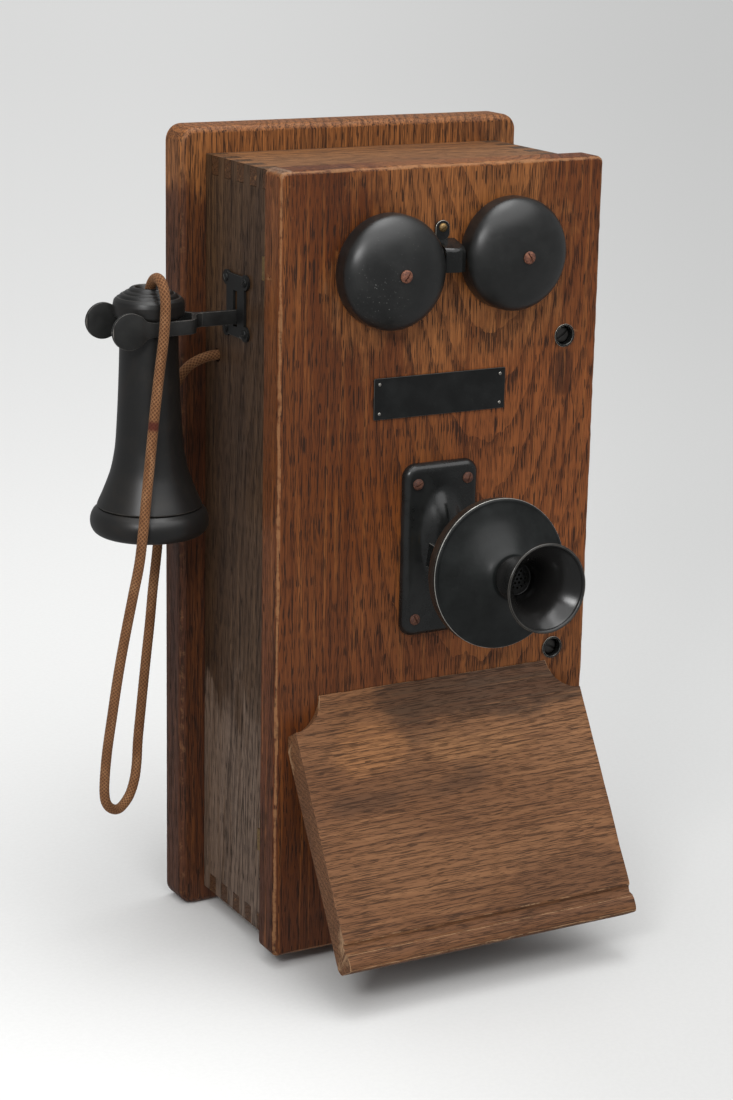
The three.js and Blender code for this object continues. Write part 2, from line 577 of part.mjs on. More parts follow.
// Inside the left wall: the bracket with the riveted pin that the lever turns on, and the springs it works.
function hookSwitch() {
  const { y, z, pivotX } = HOOK;
  const wall = -INNER_X + GAP;
  const cheek = (y0, y1) => box([wall, pivotX + 8], [y0, y1], [z - 9, z + 9]);
  const base = joined([box([wall, wall + 2], [y - 14, y + 14], [138, 186])],
    [box([wall - 1, wall + 3], [y - 3.6, y + 3.6], [150, 178])]);
  const pin = rodY(2, y - 7, y + 7, pivotX, z, 16);
  add('hookswitch_frame', joined([base, cheek(y - 6, y - 4), cheek(y + 4, y + 6), pin]), 'brass');
  for (const [place, level] of [['upper', z + 12], ['lower', z - 14]]) {
    const spring = joined([
      box([wall + 2 + GAP, wall + 10], [y - 5, y + 5], [level - 1.5, level + 2.5]),
      box([wall + 8, -24], [y - 3, y + 3], [level, level + 0.8]),
    ]);
    add(`contact_spring_${place}`, spring, 'brass');
  }
}

// The receiver hangs by its collar on the fork: a waisted shell, an ear cap, and the bar magnet inside.
function receiver() {
  const body = new THREE.Group();
  body.position.set(RECEIVER.x, RECEIVER.y, 0);
  phone.add(body);
  const shell = [
    [34.6, 37.3], [31.4, 45.9], [25.7, 60.5], [22.2, 79.4], [20.4, 106], [19, 145], [19, 162.9],
    [22.4, 163.2], [23.2, 166], [23.1, 172], [19.4, 177], [12.4, 182.3], [10.4, 182.3], [6.6, 176],
    [6.4, 168], [16, 164], [17.2, 100], [19, 80], [22.4, 62], [30.5, 37.3],
  ];
  add('receiver_shell', closed(turned(shell, 20, true)), 'rubber', body);
  const cap = [
    [6, 24.2], [14, 22.8], [28, 18.8], [32, 18.4], [37.2, 20.8], [39.2, 27.5], [38, 33.6], [34.8, 37],
    [30.5, 37], [30.5, 31], [6, 28],
  ];
  add('ear_cap', closed(turned(cap, 24, true)), 'rubber', body);
  const diaphragm = turned([[0, 31.4], [30, 31.4], [30, 32], [0, 32]], 20);
  add('receiver_diaphragm', diaphragm, 'steel', body);
  const legs = [[-12, 42], [-5, 42], [-5, 140], [5, 140], [5, 42], [12, 42], [12, 150], [-12, 150]];
  add('receiver_magnet', pushed(outline(legs), 'y', -5, 5), 'magnet', body);
}

// A spur gear outline with straight-flanked teeth; the narrow teeth leave running clearance.
function gearOutline(teeth, phase, bore) {
  const pitchR = CRANK.module * teeth / 2;
  const step = 2 * Math.PI / teeth;
  const shape = [];
  for (let i = 0; i < teeth; i += 1) {
    const flank = [
      [-0.27, pitchR - 1.15 * CRANK.module], [-0.11, pitchR + 0.8 * CRANK.module],
      [0.11, pitchR + 0.8 * CRANK.module], [0.27, pitchR - 1.15 * CRANK.module],
    ];
    for (const [share, r] of flank) {
      const a = phase + (i + share) * step;
      shape.push([r * Math.cos(a), r * Math.sin(a)]);
    }
  }
  const gear = outline(shape);
  gear.holes.push(roundHole(0, 0, bore));
  return gear;
}

// The hand generator: frame, horseshoe magnets, and the armature that the crank's gear spins.
function generator() {
  const { y, z, shaftR } = CRANK;
  const { x0, x1, z0, z1, out, sheet, magnetIn, magnetOut, magnetFoot } = GENERATOR;
  const rear = BOARD_FRONT - GAP;
  const frame = joined([
    box([x0, x0 + sheet], [y - out, rear], [z0, z1]),
    box([x1 - sheet, x1], [y - out, rear], [z0, z1]),
    box([x0, x1], [rear - sheet, rear], [z0, z1]),
  ], [
    rodX(3 + GAP, x0 - 2, x1 + 2, y, ARMATURE_Z, 16),
    rodX(shaftR + GAP, x0 - 2, x1 + 2, y, z, 20),
  ]);
  add('generator_frame', frame, 'brass');

  const horseshoe = new THREE.Shape();
  horseshoe.moveTo(y + magnetOut, magnetFoot);
  horseshoe.lineTo(y + magnetOut, z);
  horseshoe.absarc(y, z, magnetOut, 0, Math.PI, false);
  horseshoe.lineTo(y - magnetOut, magnetFoot);
  horseshoe.lineTo(y - magnetIn, magnetFoot);
  horseshoe.lineTo(y - magnetIn, z);
  horseshoe.absarc(y, z, magnetIn, Math.PI, 0, true);
  horseshoe.lineTo(y + magnetIn, magnetFoot);
  const width = (x1 - x0 - 2 * sheet - 3 * GAP) / 2;
  for (let i = 0; i < 2; i += 1) {
    const x = x0 + sheet + GAP + i * (width + GAP);
    add(`generator_magnet_${i + 1}`, pushed(horseshoe, 'x', x, x + width, 10), 'magnet');
  }

  const halfTooth = Math.PI / CRANK.pinionTeeth;
  const pinion = pushed(gearOutline(CRANK.pinionTeeth, radians(90) + halfTooth, 1), 'x', 88, 94);
  pinion.translate(0, y, ARMATURE_Z);
  const wound = [24, 74];
  const grooveZ = [ARMATURE_Z - 6, ARMATURE_Z + 6];
  const armature = joined(
    [rodX(3, 8, 96, y, ARMATURE_Z, 16), rodX(15.5, 20, 78, y, ARMATURE_Z, 24), pinion],
    [box(wound, [y - 20, y - 9], grooveZ), box(wound, [y + 9, y + 20], grooveZ)]);
  add('armature', armature, 'steel');
}

function crank() {
  const { y, z, shaftR, arm, gearX, gearT, armX, armT, hubR, hubL, tipR, pinR, bearingR } = CRANK;
  const wheel = gearOutline(CRANK.gearTeeth, radians(-90), shaftR + GAP);
  for (let i = 0; i < 4; i += 1) {
    const a = radians(45 + 90 * i);
    wheel.holes.push(roundHole(17 * Math.cos(a), 17 * Math.sin(a), 6));
  }
  add('drive_gear', pushed(wheel, 'x', gearX, gearX + gearT, 7).translate(0, y, z), 'brass');
  add('crank_shaft', rodX(shaftR, 8, armX + armT + 0.5, y, z, 24), 'steel');
  const sleeve = [
    [shaftR + 0.5, -12], [bearingR, -12], [bearingR, GAP], [15, GAP], [15, 1.6], [12, 3.4],
    [shaftR + 0.5, 3.4],
  ];
  const bushing = turned(sleeve, 20, true).rotateY(Math.PI / 2).translate(CASE_X, y, z);
  add('crank_bushing', closed(bushing), 'black');

  const bar = new THREE.Shape();
  bar.absarc(y, z, hubR, 0, Math.PI, false);
  bar.absarc(y, z - arm, tipR, Math.PI, 2 * Math.PI, false);
  const pinEnd = KNOB_X + 28.6;
  const armPlate = joined([
    pushed(bar, 'x', armX, armX + armT, 8),
    rodX(hubR, armX - hubL, armX + 0.5, y, z, 24),
    rodX(pinR, armX + armT - 1, pinEnd, y, z - arm, 16),
    rodX(5, pinEnd, pinEnd + 1.6, y, z - arm, 16),
  ], [rodX(shaftR + GAP, armX - hubL - 1, armX + armT + 2, y, z, 24)]);
  add('crank_arm', armPlate, 'black');
  const grip = [
    [3.2, 0], [7, 0], [8, 3], [9.4, 9], [10.8, 16], [11, 21], [9.8, 25.5], [7.4, 28], [5.6, 28.2],
    [3.2, 28.2],
  ];
  const knob = turned(grip, 18, true).rotateY(Math.PI / 2).translate(KNOB_X, y, z - arm);
  add('crank_knob', closed(knob), 'oak');
}

// Talking circuit parts in the lower case: induction coil, terminal block and two dry cells.
function circuit() {
  const back = BOARD_FRONT - GAP;
  const { x: coilX, length, r: coilR, z: coilZ } = INDUCTION;
  const [cheek, wound] = [4, coilR - 4];
  const spool = [
    [0, 0], [coilR, 0], [coilR, cheek], [wound, cheek], [wound, length - cheek], [coilR, length - cheek],
    [coilR, length], [0, length],
  ];
  const coil = turned(spool, 16).rotateY(Math.PI / 2).translate(coilX, back - coilR - 0.2, coilZ);
  add('induction_coil', closed(coil), 'copper');

  const { x0, x1, z0, z1, t, postR, postsX, postZ } = TERMINALS;
  const posts = postsX.map((x) => rodY(postR, back - t - 4, back - t + 1, x, postZ, 12));
  const block = joined([box([x0, x1], [back - t, back], [z0, z1]), ...posts]);
  add('terminal_block', block, 'oak');

  const floor = CASE.bottom + CASE.wall + GAP;
  const { r, h } = CELL;
  const cell = [
    [0, 0], [r - 1, 0], [r, 1], [r, h - 2], [r - 1, h], [11, h], [11, h + 3], [4, h + 3], [4, h + 8],
    [0, h + 8],
  ];
  for (const [side, x] of [['left', -CELL.x], ['right', CELL.x]]) {
    add(`dry_cell_${side}`, closed(turned(cell, 20).translate(x, CELL.y, floor)), 'card');
  }
}

// The receiver's braided cord: out of the case, a hanging loop, then over the collar and into its top.
const CORD_ROUTE = [
  [-96, -43.8, 127], [-108, -43.8, 127], [-120, -44, 126.2], [-132, -43.5, 121.5], [-140, -42, 112],
  [-146, -40, 96], [-150, -38.5, 72], [-151, -37.5, 44], [-152, -37, 15], [-154, -37, -8], [-158, -39, -33],
  [-161.5, -41.5, -56], [-166, -44, -84], [-171, -48, -112], [-175.5, -52.5, -134], [-178.5, -56.8, -149.5],
  [-182, -60.3, -160.5], [-187.4, -62.9, -170.4], [-196.8, -67.4, -175.8], [-206, -72, -170.8],
  [-210.3, -75.4, -159], [-210.5, -80, -132], [-209, -87, -100], [-207, -93, -70], [-204.5, -99, -42],
  [-201.5, -105, -14], [-199, -109.5, 8], [-197.3, -112, 30], [-193.5, -109.8, 56], [-188.5, -106, 85],
  [-185, -104, 108], [-181.5, -103.2, 132], [-179, -103.8, 152], [-177.9, -104, 166],
  [-177.4, -103.6, 175.5], [-177, -101, 183], [-176.6, -95.8, 188], [-176.2, -89.2, 189.8],
  [-175.9, -82.4, 188], [-175.8, -77.2, 183], [-175.9, -74.9, 176], [-176, -74.5, 170],
];

function receiverCord() {
  const places = CORD_ROUTE.map((p) => new THREE.Vector3(...p));
  const path = new THREE.CatmullRomCurve3(places, false, 'centripetal');
  const section = new THREE.Shape();
  const sides = 8;
  for (let i = 0; i < sides; i += 1) {
    const a = (i + 0.5) * 2 * Math.PI / sides;
    const [u, v] = [CORD.d / 2 * Math.cos(a), CORD.d / 2 * Math.sin(a)];
    if (i === 0) section.moveTo(u, v);
    else section.lineTo(u, v);
  }
  const tube = new THREE.ExtrudeGeometry(section, { steps: 64, extrudePath: path, bevelEnabled: false });
  add('receiver_cord', closed(tube), 'cotton');
}

backboard();
caseSides();
caseEnds();
door();
hinges();
gongs();
clapperGuard();
nameplate();
latches();
writingShelf();
transmitterPlate();
transmitter();
ringer();
hookPlate();
hookLever();
hookSwitch();
receiver();
generator();
crank();
circuit();
receiverCord();

export default phone;
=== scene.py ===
"""Looks for the wall crank telephone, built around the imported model.

Metres, +X right, +Y into the wall, +Z up, as in the frame. The small sizes below are in millimetres and
scaled by MM.
"""
import math
import random

import bmesh
import bpy
import numpy as np
from mathutils import Matrix, Vector, noise


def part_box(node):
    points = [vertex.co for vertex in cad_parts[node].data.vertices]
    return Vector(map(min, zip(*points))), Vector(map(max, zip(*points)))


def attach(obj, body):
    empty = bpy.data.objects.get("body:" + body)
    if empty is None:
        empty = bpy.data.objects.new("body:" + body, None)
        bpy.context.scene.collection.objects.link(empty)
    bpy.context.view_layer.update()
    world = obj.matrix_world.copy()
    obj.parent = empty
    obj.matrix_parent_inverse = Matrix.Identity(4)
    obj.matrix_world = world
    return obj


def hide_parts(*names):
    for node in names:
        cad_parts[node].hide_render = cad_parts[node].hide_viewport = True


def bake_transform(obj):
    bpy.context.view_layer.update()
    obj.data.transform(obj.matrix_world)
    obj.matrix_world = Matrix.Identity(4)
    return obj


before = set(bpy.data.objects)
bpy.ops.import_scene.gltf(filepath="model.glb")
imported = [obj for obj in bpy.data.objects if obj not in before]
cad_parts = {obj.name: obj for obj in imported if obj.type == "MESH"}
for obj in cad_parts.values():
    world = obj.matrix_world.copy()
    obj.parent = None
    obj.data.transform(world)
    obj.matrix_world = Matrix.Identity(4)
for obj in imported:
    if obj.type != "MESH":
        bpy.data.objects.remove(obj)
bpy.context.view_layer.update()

MM = 0.001
SCENE = bpy.context.scene

# ---------------------------------------------------------------- places read from the frame

DOOR_LOW, DOOR_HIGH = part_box("door_panel")
DOOR_FACE = DOOR_LOW.y
BOARD_LOW, BOARD_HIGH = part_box("backboard")
CASE_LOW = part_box("case_left_side")[0]
FLOOR_Z = BOARD_LOW.z


def middle(node):
    """The middle of a CAD node's box."""
    low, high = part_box(node)
    return (low + high) / 2


def size(node):
    low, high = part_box(node)
    return high - low


# ---------------------------------------------------------------- mesh helpers


def new_piece(name, vertices, faces):
    """An object in the scene from points in metres and lists of point numbers."""
    mesh = bpy.data.meshes.new(name)
    mesh.from_pydata([tuple(v) for v in vertices], [], faces)
    mesh.update()
    piece = bpy.data.objects.new(name, mesh)
    SCENE.collection.objects.link(piece)
    return piece


def from_bmesh(name, shape):
    mesh = bpy.data.meshes.new(name)
    shape.to_mesh(mesh)
    shape.free()
    piece = bpy.data.objects.new(name, mesh)
    SCENE.collection.objects.link(piece)
    return piece


def facing_out(piece):
    """Turns every face of a closed mesh outwards."""
    shape = bmesh.new()
    shape.from_mesh(piece.data)
    bmesh.ops.recalc_face_normals(shape, faces=shape.faces)
    shape.to_mesh(piece.data)
    shape.free()
    return piece


def applied(piece):
    """Applies the piece's modifiers to its mesh."""
    graph = bpy.context.evaluated_depsgraph_get()
    mesh = bpy.data.meshes.new_from_object(piece.evaluated_get(graph))
    piece.modifiers.clear()
    piece.data = mesh
    return piece


def combine(piece, others, operation):
    """Cuts the other objects from the piece, or joins them to it, and removes them."""
    for other in others:
        step = piece.modifiers.new("combine", "BOOLEAN")
        step.operation = operation
        step.solver = "EXACT"
        step.object = other
        applied(piece)
        bpy.data.objects.remove(other)
    return piece


def loft(name, rings, closed=False):
    """A skin through rings of points, capped at both ends or closed on itself."""
    count = len(rings[0])
    vertices = [point for ring in rings for point in ring]
    faces = []
    spans = len(rings) if closed else len(rings) - 1
    for i in range(spans):
        a, b = i * count, (i + 1) % len(rings) * count
        for j in range(count):
            k = (j + 1) % count
            faces.append((a + j, a + k, b + k, b + j))
    if not closed:
        faces.append(tuple(range(count))[::-1])
        faces.append(tuple(range((len(rings) - 1) * count, len(rings) * count)))
    return facing_out(new_piece(name, vertices, faces))


def filleted(points, radius, steps=4, closed=False):
    """A polyline with its corners rounded, in the units of its points."""
    result = []
    count = len(points)
    for i, point in enumerate(points):
        p = Vector(point)
        if not closed and i in (0, count - 1):
            result.append(p)
            continue
        before = Vector(points[i - 1])
        after = Vector(points[(i + 1) % count])
        to_before, to_after = before - p, after - p
        turn = math.pi - to_before.angle(to_after, math.pi)
        if turn < math.radians(12):
            result.append(p)
            continue
        reach = min(radius, 0.45 * to_before.length, 0.45 * to_after.length)
        start = p + to_before.normalized() * reach
        end = p + to_after.normalized() * reach
        for k in range(steps + 1):
            t = k / steps
            result.append(start * (1 - t) ** 2 + p * 2 * t * (1 - t) + end * t * t)
    return result


def through(points, per_span=6):
    """A smooth Catmull-Rom line through the points."""
    known = [Vector(p) for p in points]
    known = [2 * known[0] - known[1]] + known + [2 * known[-1] - known[-2]]
    result = []
    for a, b, c, d in zip(known, known[1:], known[2:], known[3:]):
        for k in range(per_span):
            t = k / per_span
            result.append(0.5 * (2 * b + (c - a) * t + (2 * a - 5 * b + 4 * c - d) * t * t
                                 + (3 * b - a - 3 * c + d) * t ** 3))
    return result + [known[-2]]


def turned(name, profile, place, segments=96, ring=False):
    """Spins a (radius, height) outline in millimetres about the place's own Z."""
    vertices, faces, rows = [], [], []
    for r, h in profile:
        if r < 1e-6:
            rows.append([len(vertices)])
            vertices.append(place @ Vector((0, 0, h * MM)))
            continue
        rows.append(list(range(len(vertices), len(vertices) + segments)))
        for i in range(segments):
            a = 2 * math.pi * i / segments
            vertices.append(place @ (Vector((r * math.cos(a), r * math.sin(a), h)) * MM))
    pairs = list(zip(rows, rows[1:])) + ([(rows[-1], rows[0])] if ring else [])
    for low, high in pairs:
        for i in range(segments):
            k = (i + 1) % segments
            if len(low) == 1 and len(high) > 1:
                faces.append((low[0], high[i], high[k]))
            elif len(high) == 1 and len(low) > 1:
                faces.append((low[i], low[k], high[0]))
            elif len(low) > 1:
                faces.append((low[i], low[k], high[k], high[i]))
    return facing_out(new_piece(name, vertices, faces))


def place_at(point, axis):
    """A matrix whose Z points along the axis, at a point of the frame."""
    return Matrix.Translation(point) @ Vector(axis).to_track_quat("Z", "Y").to_matrix().to_4x4()


def cutter_box(low, high):
    shape = bmesh.new()
    bmesh.ops.create_cube(shape, size=1)
    low, high = Vector(low), Vector(high)
    for v in shape.verts:
        v.co = Vector((low[i] + (v.co[i] + 0.5) * (high[i] - low[i]) for i in range(3)))
    return from_bmesh("cutter", shape)


def cutter_rod(start, end, radius, segments=48):
    length = (Vector(end) - Vector(start)).length / MM
    place = place_at(Vector(start), Vector(end) - Vector(start))
    return turned("cutter", [(0, 0), (radius / MM, 0), (radius / MM, length), (0, length)], place, segments)


def edge_attribute(piece, radius):
    """Stores in "edge" how sharply the surface curves outwards: 1 where it curves within the radius."""
    shape = bmesh.new()
    shape.from_mesh(piece.data)
    values = np.zeros(len(shape.verts), np.float32)
    for e in shape.edges:
        if len(e.link_faces) != 2 or not e.is_convex:
            continue
        along = (e.verts[1].co - e.verts[0].co).normalized()
        reach = 0.0
        for face in e.link_faces:
            away = face.calc_center_median() - e.verts[0].co
            reach += (away - along * away.dot(along)).length
        bend = e.calc_face_angle(0.0) * radius / max(reach, 0.05 * radius)
        for v in e.verts:
            values[v.index] = max(values[v.index], min(1.0, bend))
    shape.free()
    attribute = piece.data.attributes.get("edge") or piece.data.attributes.new("edge", "FLOAT", "POINT")
    attribute.data.foreach_set("value", values)
    return values


def worn(piece, depth, grain_size, seed, radius=3 * MM):
    """Rubs the outer edges back a little and unevenly, as long use does."""
    values = edge_attribute(piece, radius)
    offset = Vector((seed * 1.7, seed * 3.1, seed * 0.9))
    for v in piece.data.vertices:
        share = values[v.index]
        if share < 0.05:
            continue
        rough = noise.fractal(v.co / grain_size + offset, 1.0, 2.0, 3)
        v.co -= v.normal * depth * share * max(0.0, 0.35 + rough)
    return piece


def shaded(piece, angle=32, weighted=False):
    """Smooth shading, with edges sharper than the angle left crisp."""
    piece.data.polygons.foreach_set("use_smooth", [True] * len(piece.data.polygons))
    piece.data.set_sharp_from_angle(angle=math.radians(angle))
    if weighted:
        step = piece.modifiers.new("even_normals", "WEIGHTED_NORMAL")
        step.keep_sharp = True
    return piece


def bevelled(piece, width, segments=2, angle=30):
    step = piece.modifiers.new("soft_edges", "BEVEL")
    step.width = width
    step.segments = segments
    step.limit_method = "ANGLE"
    step.angle_limit = math.radians(angle)
    step.use_clamp_overlap = True
    step.harden_normals = False
    return piece


def finish_piece(piece, body, material, slot=None, nodes=()):
    """Paints a piece, hangs it on its body, and hides the CAD nodes that it stands for."""
    piece.data.materials.clear()
    piece.data.materials.append(material)
    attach(piece, body)
    if nodes:
        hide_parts(*nodes)
    return piece


def dressed(piece, edge, angle, *hand_over, weighted=False):
    """Marks a piece's edges over so many millimetres, smooths its faces, and hands it over to its body."""
    edge_attribute(piece, edge * MM)
    shaded(piece, angle, weighted=weighted)
    return finish_piece(piece, *hand_over)


# ---------------------------------------------------------------- material helpers



class Shader:
    """One material's node tree, with short calls for the nodes that the finishes share."""

    def __init__(self, name):
        self.material = bpy.data.materials.new(name)
        self.material.use_nodes = True
        self.tree = self.material.node_tree
        self.surface = self.tree.nodes["Principled BSDF"]
        self.spot = self.tree.nodes.new("ShaderNodeTexCoord").outputs["Object"]

    def put(self, socket, value):
        if isinstance(value, bpy.types.NodeSocket):
            self.tree.links.new(value, socket)
        else:
            socket.default_value = value

    def node(self, kind, **settings):
        made = self.tree.nodes.new(kind)
        for key, value in settings.items():
            setattr(made, key, value)
        return made

    def math(self, operation, a, b=0.0, c=0.0, clamp=False):
        made = self.node("ShaderNodeMath", operation=operation, use_clamp=clamp)
        for socket, value in zip(made.inputs, (a, b, c)):
            self.put(socket, value)
        return made.outputs[0]

    def times(self, a, b):
        return self.math("MULTIPLY", a, b)

    def plus(self, a, b):
        return self.math("ADD", a, b)

    def limits(self, value, low, high, out_low=0.0, out_high=1.0):
        """Maps a value smoothly from one range to another."""
        made = self.node("ShaderNodeMapRange", interpolation_type="SMOOTHSTEP")
        for socket, number in zip(made.inputs, (value, low, high, out_low, out_high)):
            self.put(socket, number)
        return made.outputs[0]

    def mix(self, share, a, b, mode="MIX"):
        made = self.node("ShaderNodeMix", data_type="RGBA", blend_type=mode)
        self.put(made.inputs["Factor"], share)
        for socket, value in ((made.inputs[6], a), (made.inputs[7], b)):
            self.put(socket, (*value, 1.0) if isinstance(value, tuple) else value)
        return made.outputs[2]

    def ramp(self, value, *stops):
        made = self.node("ShaderNodeValToRGB")
        while len(made.color_ramp.elements) < len(stops):
            made.color_ramp.elements.new(0.5)
        for element, (position, colour) in zip(made.color_ramp.elements, stops):
            element.position = position
            element.color = (*colour, 1.0)
        self.put(made.inputs[0], value)
        return made.outputs[0]

    def stretched(self, scale, shift=(0, 0, 0), turn=(0, 0, 0), source=None):
        made = self.node("ShaderNodeMapping")
        self.put(made.inputs["Vector"], source or self.spot)
        made.inputs["Scale"].default_value = scale
        made.inputs["Location"].default_value = shift
        made.inputs["Rotation"].default_value = turn
        return made.outputs[0]

    def noise(self, vector, scale, detail=3.0, rough=0.55, bend=0.0):
        made = self.node("ShaderNodeTexNoise")
        self.put(made.inputs["Vector"], vector)
        made.inputs["Scale"].default_value = scale
        made.inputs["Detail"].default_value = detail
        made.inputs["Roughness"].default_value = rough
        made.inputs["Distortion"].default_value = bend
        return made.outputs[0]

    def cells(self, vector, scale, feature="F1"):
        made = self.node("ShaderNodeTexVoronoi", feature=feature)
        self.put(made.inputs["Vector"], vector)
        made.inputs["Scale"].default_value = scale
        return made.outputs["Distance"]

    def attribute(self, name):
        return self.node("ShaderNodeAttribute", attribute_name=name).outputs["Fac"]

    def parts(self, vector=None):
        made = self.node("ShaderNodeSeparateXYZ")
        self.put(made.inputs[0], vector or self.spot)
        return made.outputs

    def joined(self, x, y, z):
        made = self.node("ShaderNodeCombineXYZ")
        for socket, value in zip(made.inputs, (x, y, z)):
            self.put(socket, value)
        return made.outputs[0]

    def bump(self, height, distance, strength=1.0, normal=None):
        made = self.node("ShaderNodeBump")
        self.put(made.inputs["Height"], height)
        made.inputs["Distance"].default_value = distance
        made.inputs["Strength"].default_value = strength
        if normal:
            self.put(made.inputs["Normal"], normal)
        return made.outputs[0]

    def near_box(self, low, high, margin):
        """1 inside a box of the frame, falling to 0 over the margin outside it. None leaves a side open."""
        total = 1.0
        for axis, part in enumerate(self.parts()):
            if low[axis] is not None:
                total = self.times(total, self.limits(part, low[axis] - margin, low[axis] + margin))
            if high[axis] is not None:
                total = self.times(total, self.limits(part, high[axis] + margin, high[axis] - margin))
        return total

    def finish(self, colour=None, roughness=None, normal=None, **settings):
        for key, value in (("Base Color", colour), ("Roughness", roughness), ("Normal", normal)):
            if value is not None:
                self.put(self.surface.inputs[key], (*value, 1.0) if isinstance(value, tuple) else value)
        for key, value in settings.items():
            self.surface.inputs[key.replace("_", " ")].default_value = value
        return self.material


GRAIN = {"x": 0, "y": 1, "z": 2}
PAPER = (0.735, 0.735, 0.727)
CAMERA_PLACE = Vector((-0.8451, -1.5727, 0.4661))
CAMERA_AZIMUTH = math.radians(-29.08)
CAMERA_ELEVATION = math.radians(15.62)
CAMERA_ROLL = math.radians(1.14)
CAMERA_LENS = 83.98


def oak(name, grain, seed, tones, pore, gloss=0.46, ring=5.5, pith=(0.02, 0.07), lean=0.1, stains=0.3,
        wear=(0.30, 0.14, 0.055), patches=(), pore_scale=2300, pore_depth=0.85, crowding=0.10, strip=None,
        streaky=0.6):
    """Stained oak: growth rings that arch along the board, rows of dark pores, blotches, and rubbed edges.

    A strip (position, shift) is a second board glued on below that position, with its own straighter
    grain."""
    s = Shader(name)
    random.seed(seed)
    shift = Vector([random.uniform(-5, 5) for _ in range(3)])
    axis = GRAIN[grain]
    deep, middle_tone, glow = tones

    def along(share):
        scale = [1.0, 1.0, 1.0]
        scale[axis] = share
        return s.stretched(scale, shift)

    x, y, z = s.parts()
    across, deep_in, length = {"z": (x, y, z), "x": (z, y, x), "y": (x, z, y)}[grain]
    wander = s.noise(along(0.12), 9, 2.0, 0.5)
    ripple = s.noise(along(0.08), 70, 2.0, 0.55)
    side = s.plus(s.math("SUBTRACT", across, pith[0]), s.times(s.math("SUBTRACT", wander, 0.5), 0.065))
    second = None
    if strip:
        second = s.limits(across, strip[0] + 0.2 * MM, strip[0] - 0.2 * MM)
        side = s.plus(side, s.times(second, strip[1]))
    below = s.plus(s.plus(deep_in, pith[1]), s.times(length, lean))
    reach = s.math("SQRT", s.plus(s.times(side, side), s.times(below, below)))
    reach = s.plus(reach, s.times(ripple, 0.004))
    early = s.limits(s.math("FRACT", s.times(reach, 1 / (ring * MM))), 0.60, 0.04)

    tone = s.noise(along(0.25), 8, 3.0, 0.55, 0.3)
    fibres = s.noise(along(0.02), 900, 3.0, 0.6)
    colour = s.ramp(tone, (0.33, deep), (0.50, middle_tone), (0.67, glow))
    if second:
        colour = s.mix(s.times(second, 0.45), colour, deep)
    # Each patch tints a box of the frame. Some are the wood's own stains; others are painted light, painted
    # shade or a painted reflection, as noted where each finish is made.
    for low, high, margin, tint, share in patches:
        ragged = s.math("SUBTRACT", s.noise(along(0.45), 32, 6.0, 0.68, 0.5), 0.5)
        place = s.limits(s.plus(s.near_box(low, high, margin), s.times(ragged, 2.2)), 0.35, 0.85)
        colour = s.mix(s.times(place, share), colour, tint)
    colour = s.mix(s.limits(fibres, 0.62, 0.36, 0.0, 0.42), colour, deep)
    colour = s.mix(s.times(early, 0.30), colour, deep)

    streaks = s.noise(along(0.030), 260, 2.0, 0.5)
    colour = s.mix(s.limits(streaks, 0.56, 0.70, 0.0, streaky), colour, glow)
    colour = s.mix(s.limits(streaks, 0.44, 0.30, 0.0, streaky), colour, deep)
    dashes = s.noise(along(0.042), pore_scale, 0.0, 0.5)
    long_dashes = s.noise(along(0.026), 0.6 * pore_scale, 0.0, 0.5)
    fine = s.limits(s.plus(dashes, s.times(early, crowding)), 0.615, 0.68)
    coarse = s.limits(s.plus(long_dashes, s.times(early, 0.7 * crowding)), 0.655, 0.72)
    open_pores = s.math("MAXIMUM", fine, coarse)
    colour = s.mix(s.times(open_pores, pore_depth), colour, pore)

    blotch = s.limits(s.noise(along(0.45), 16, 5.0, 0.65, 1.2), 0.60, 0.80)
    colour = s.mix(s.times(blotch, stains), colour, pore)

    edge = s.attribute("edge")
    rubbed = s.limits(s.times(edge, s.noise(s.spot, 160, 5.0, 0.7)), 0.30, 0.52)
    colour = s.mix(s.times(rubbed, 0.65), colour, wear)

    roughness = s.plus(gloss, s.plus(s.times(s.math("SUBTRACT", s.noise(s.spot, 45, 5.0, 0.65), 0.5), 0.30),
                                     s.times(open_pores, 0.25)))
    height = s.plus(s.times(open_pores, -1.0), s.times(fibres, 0.4))
    normal = s.bump(height, 0.10 * MM, 0.7)
    return s.finish(colour, roughness, normal, Specular_IOR_Level=0.28)


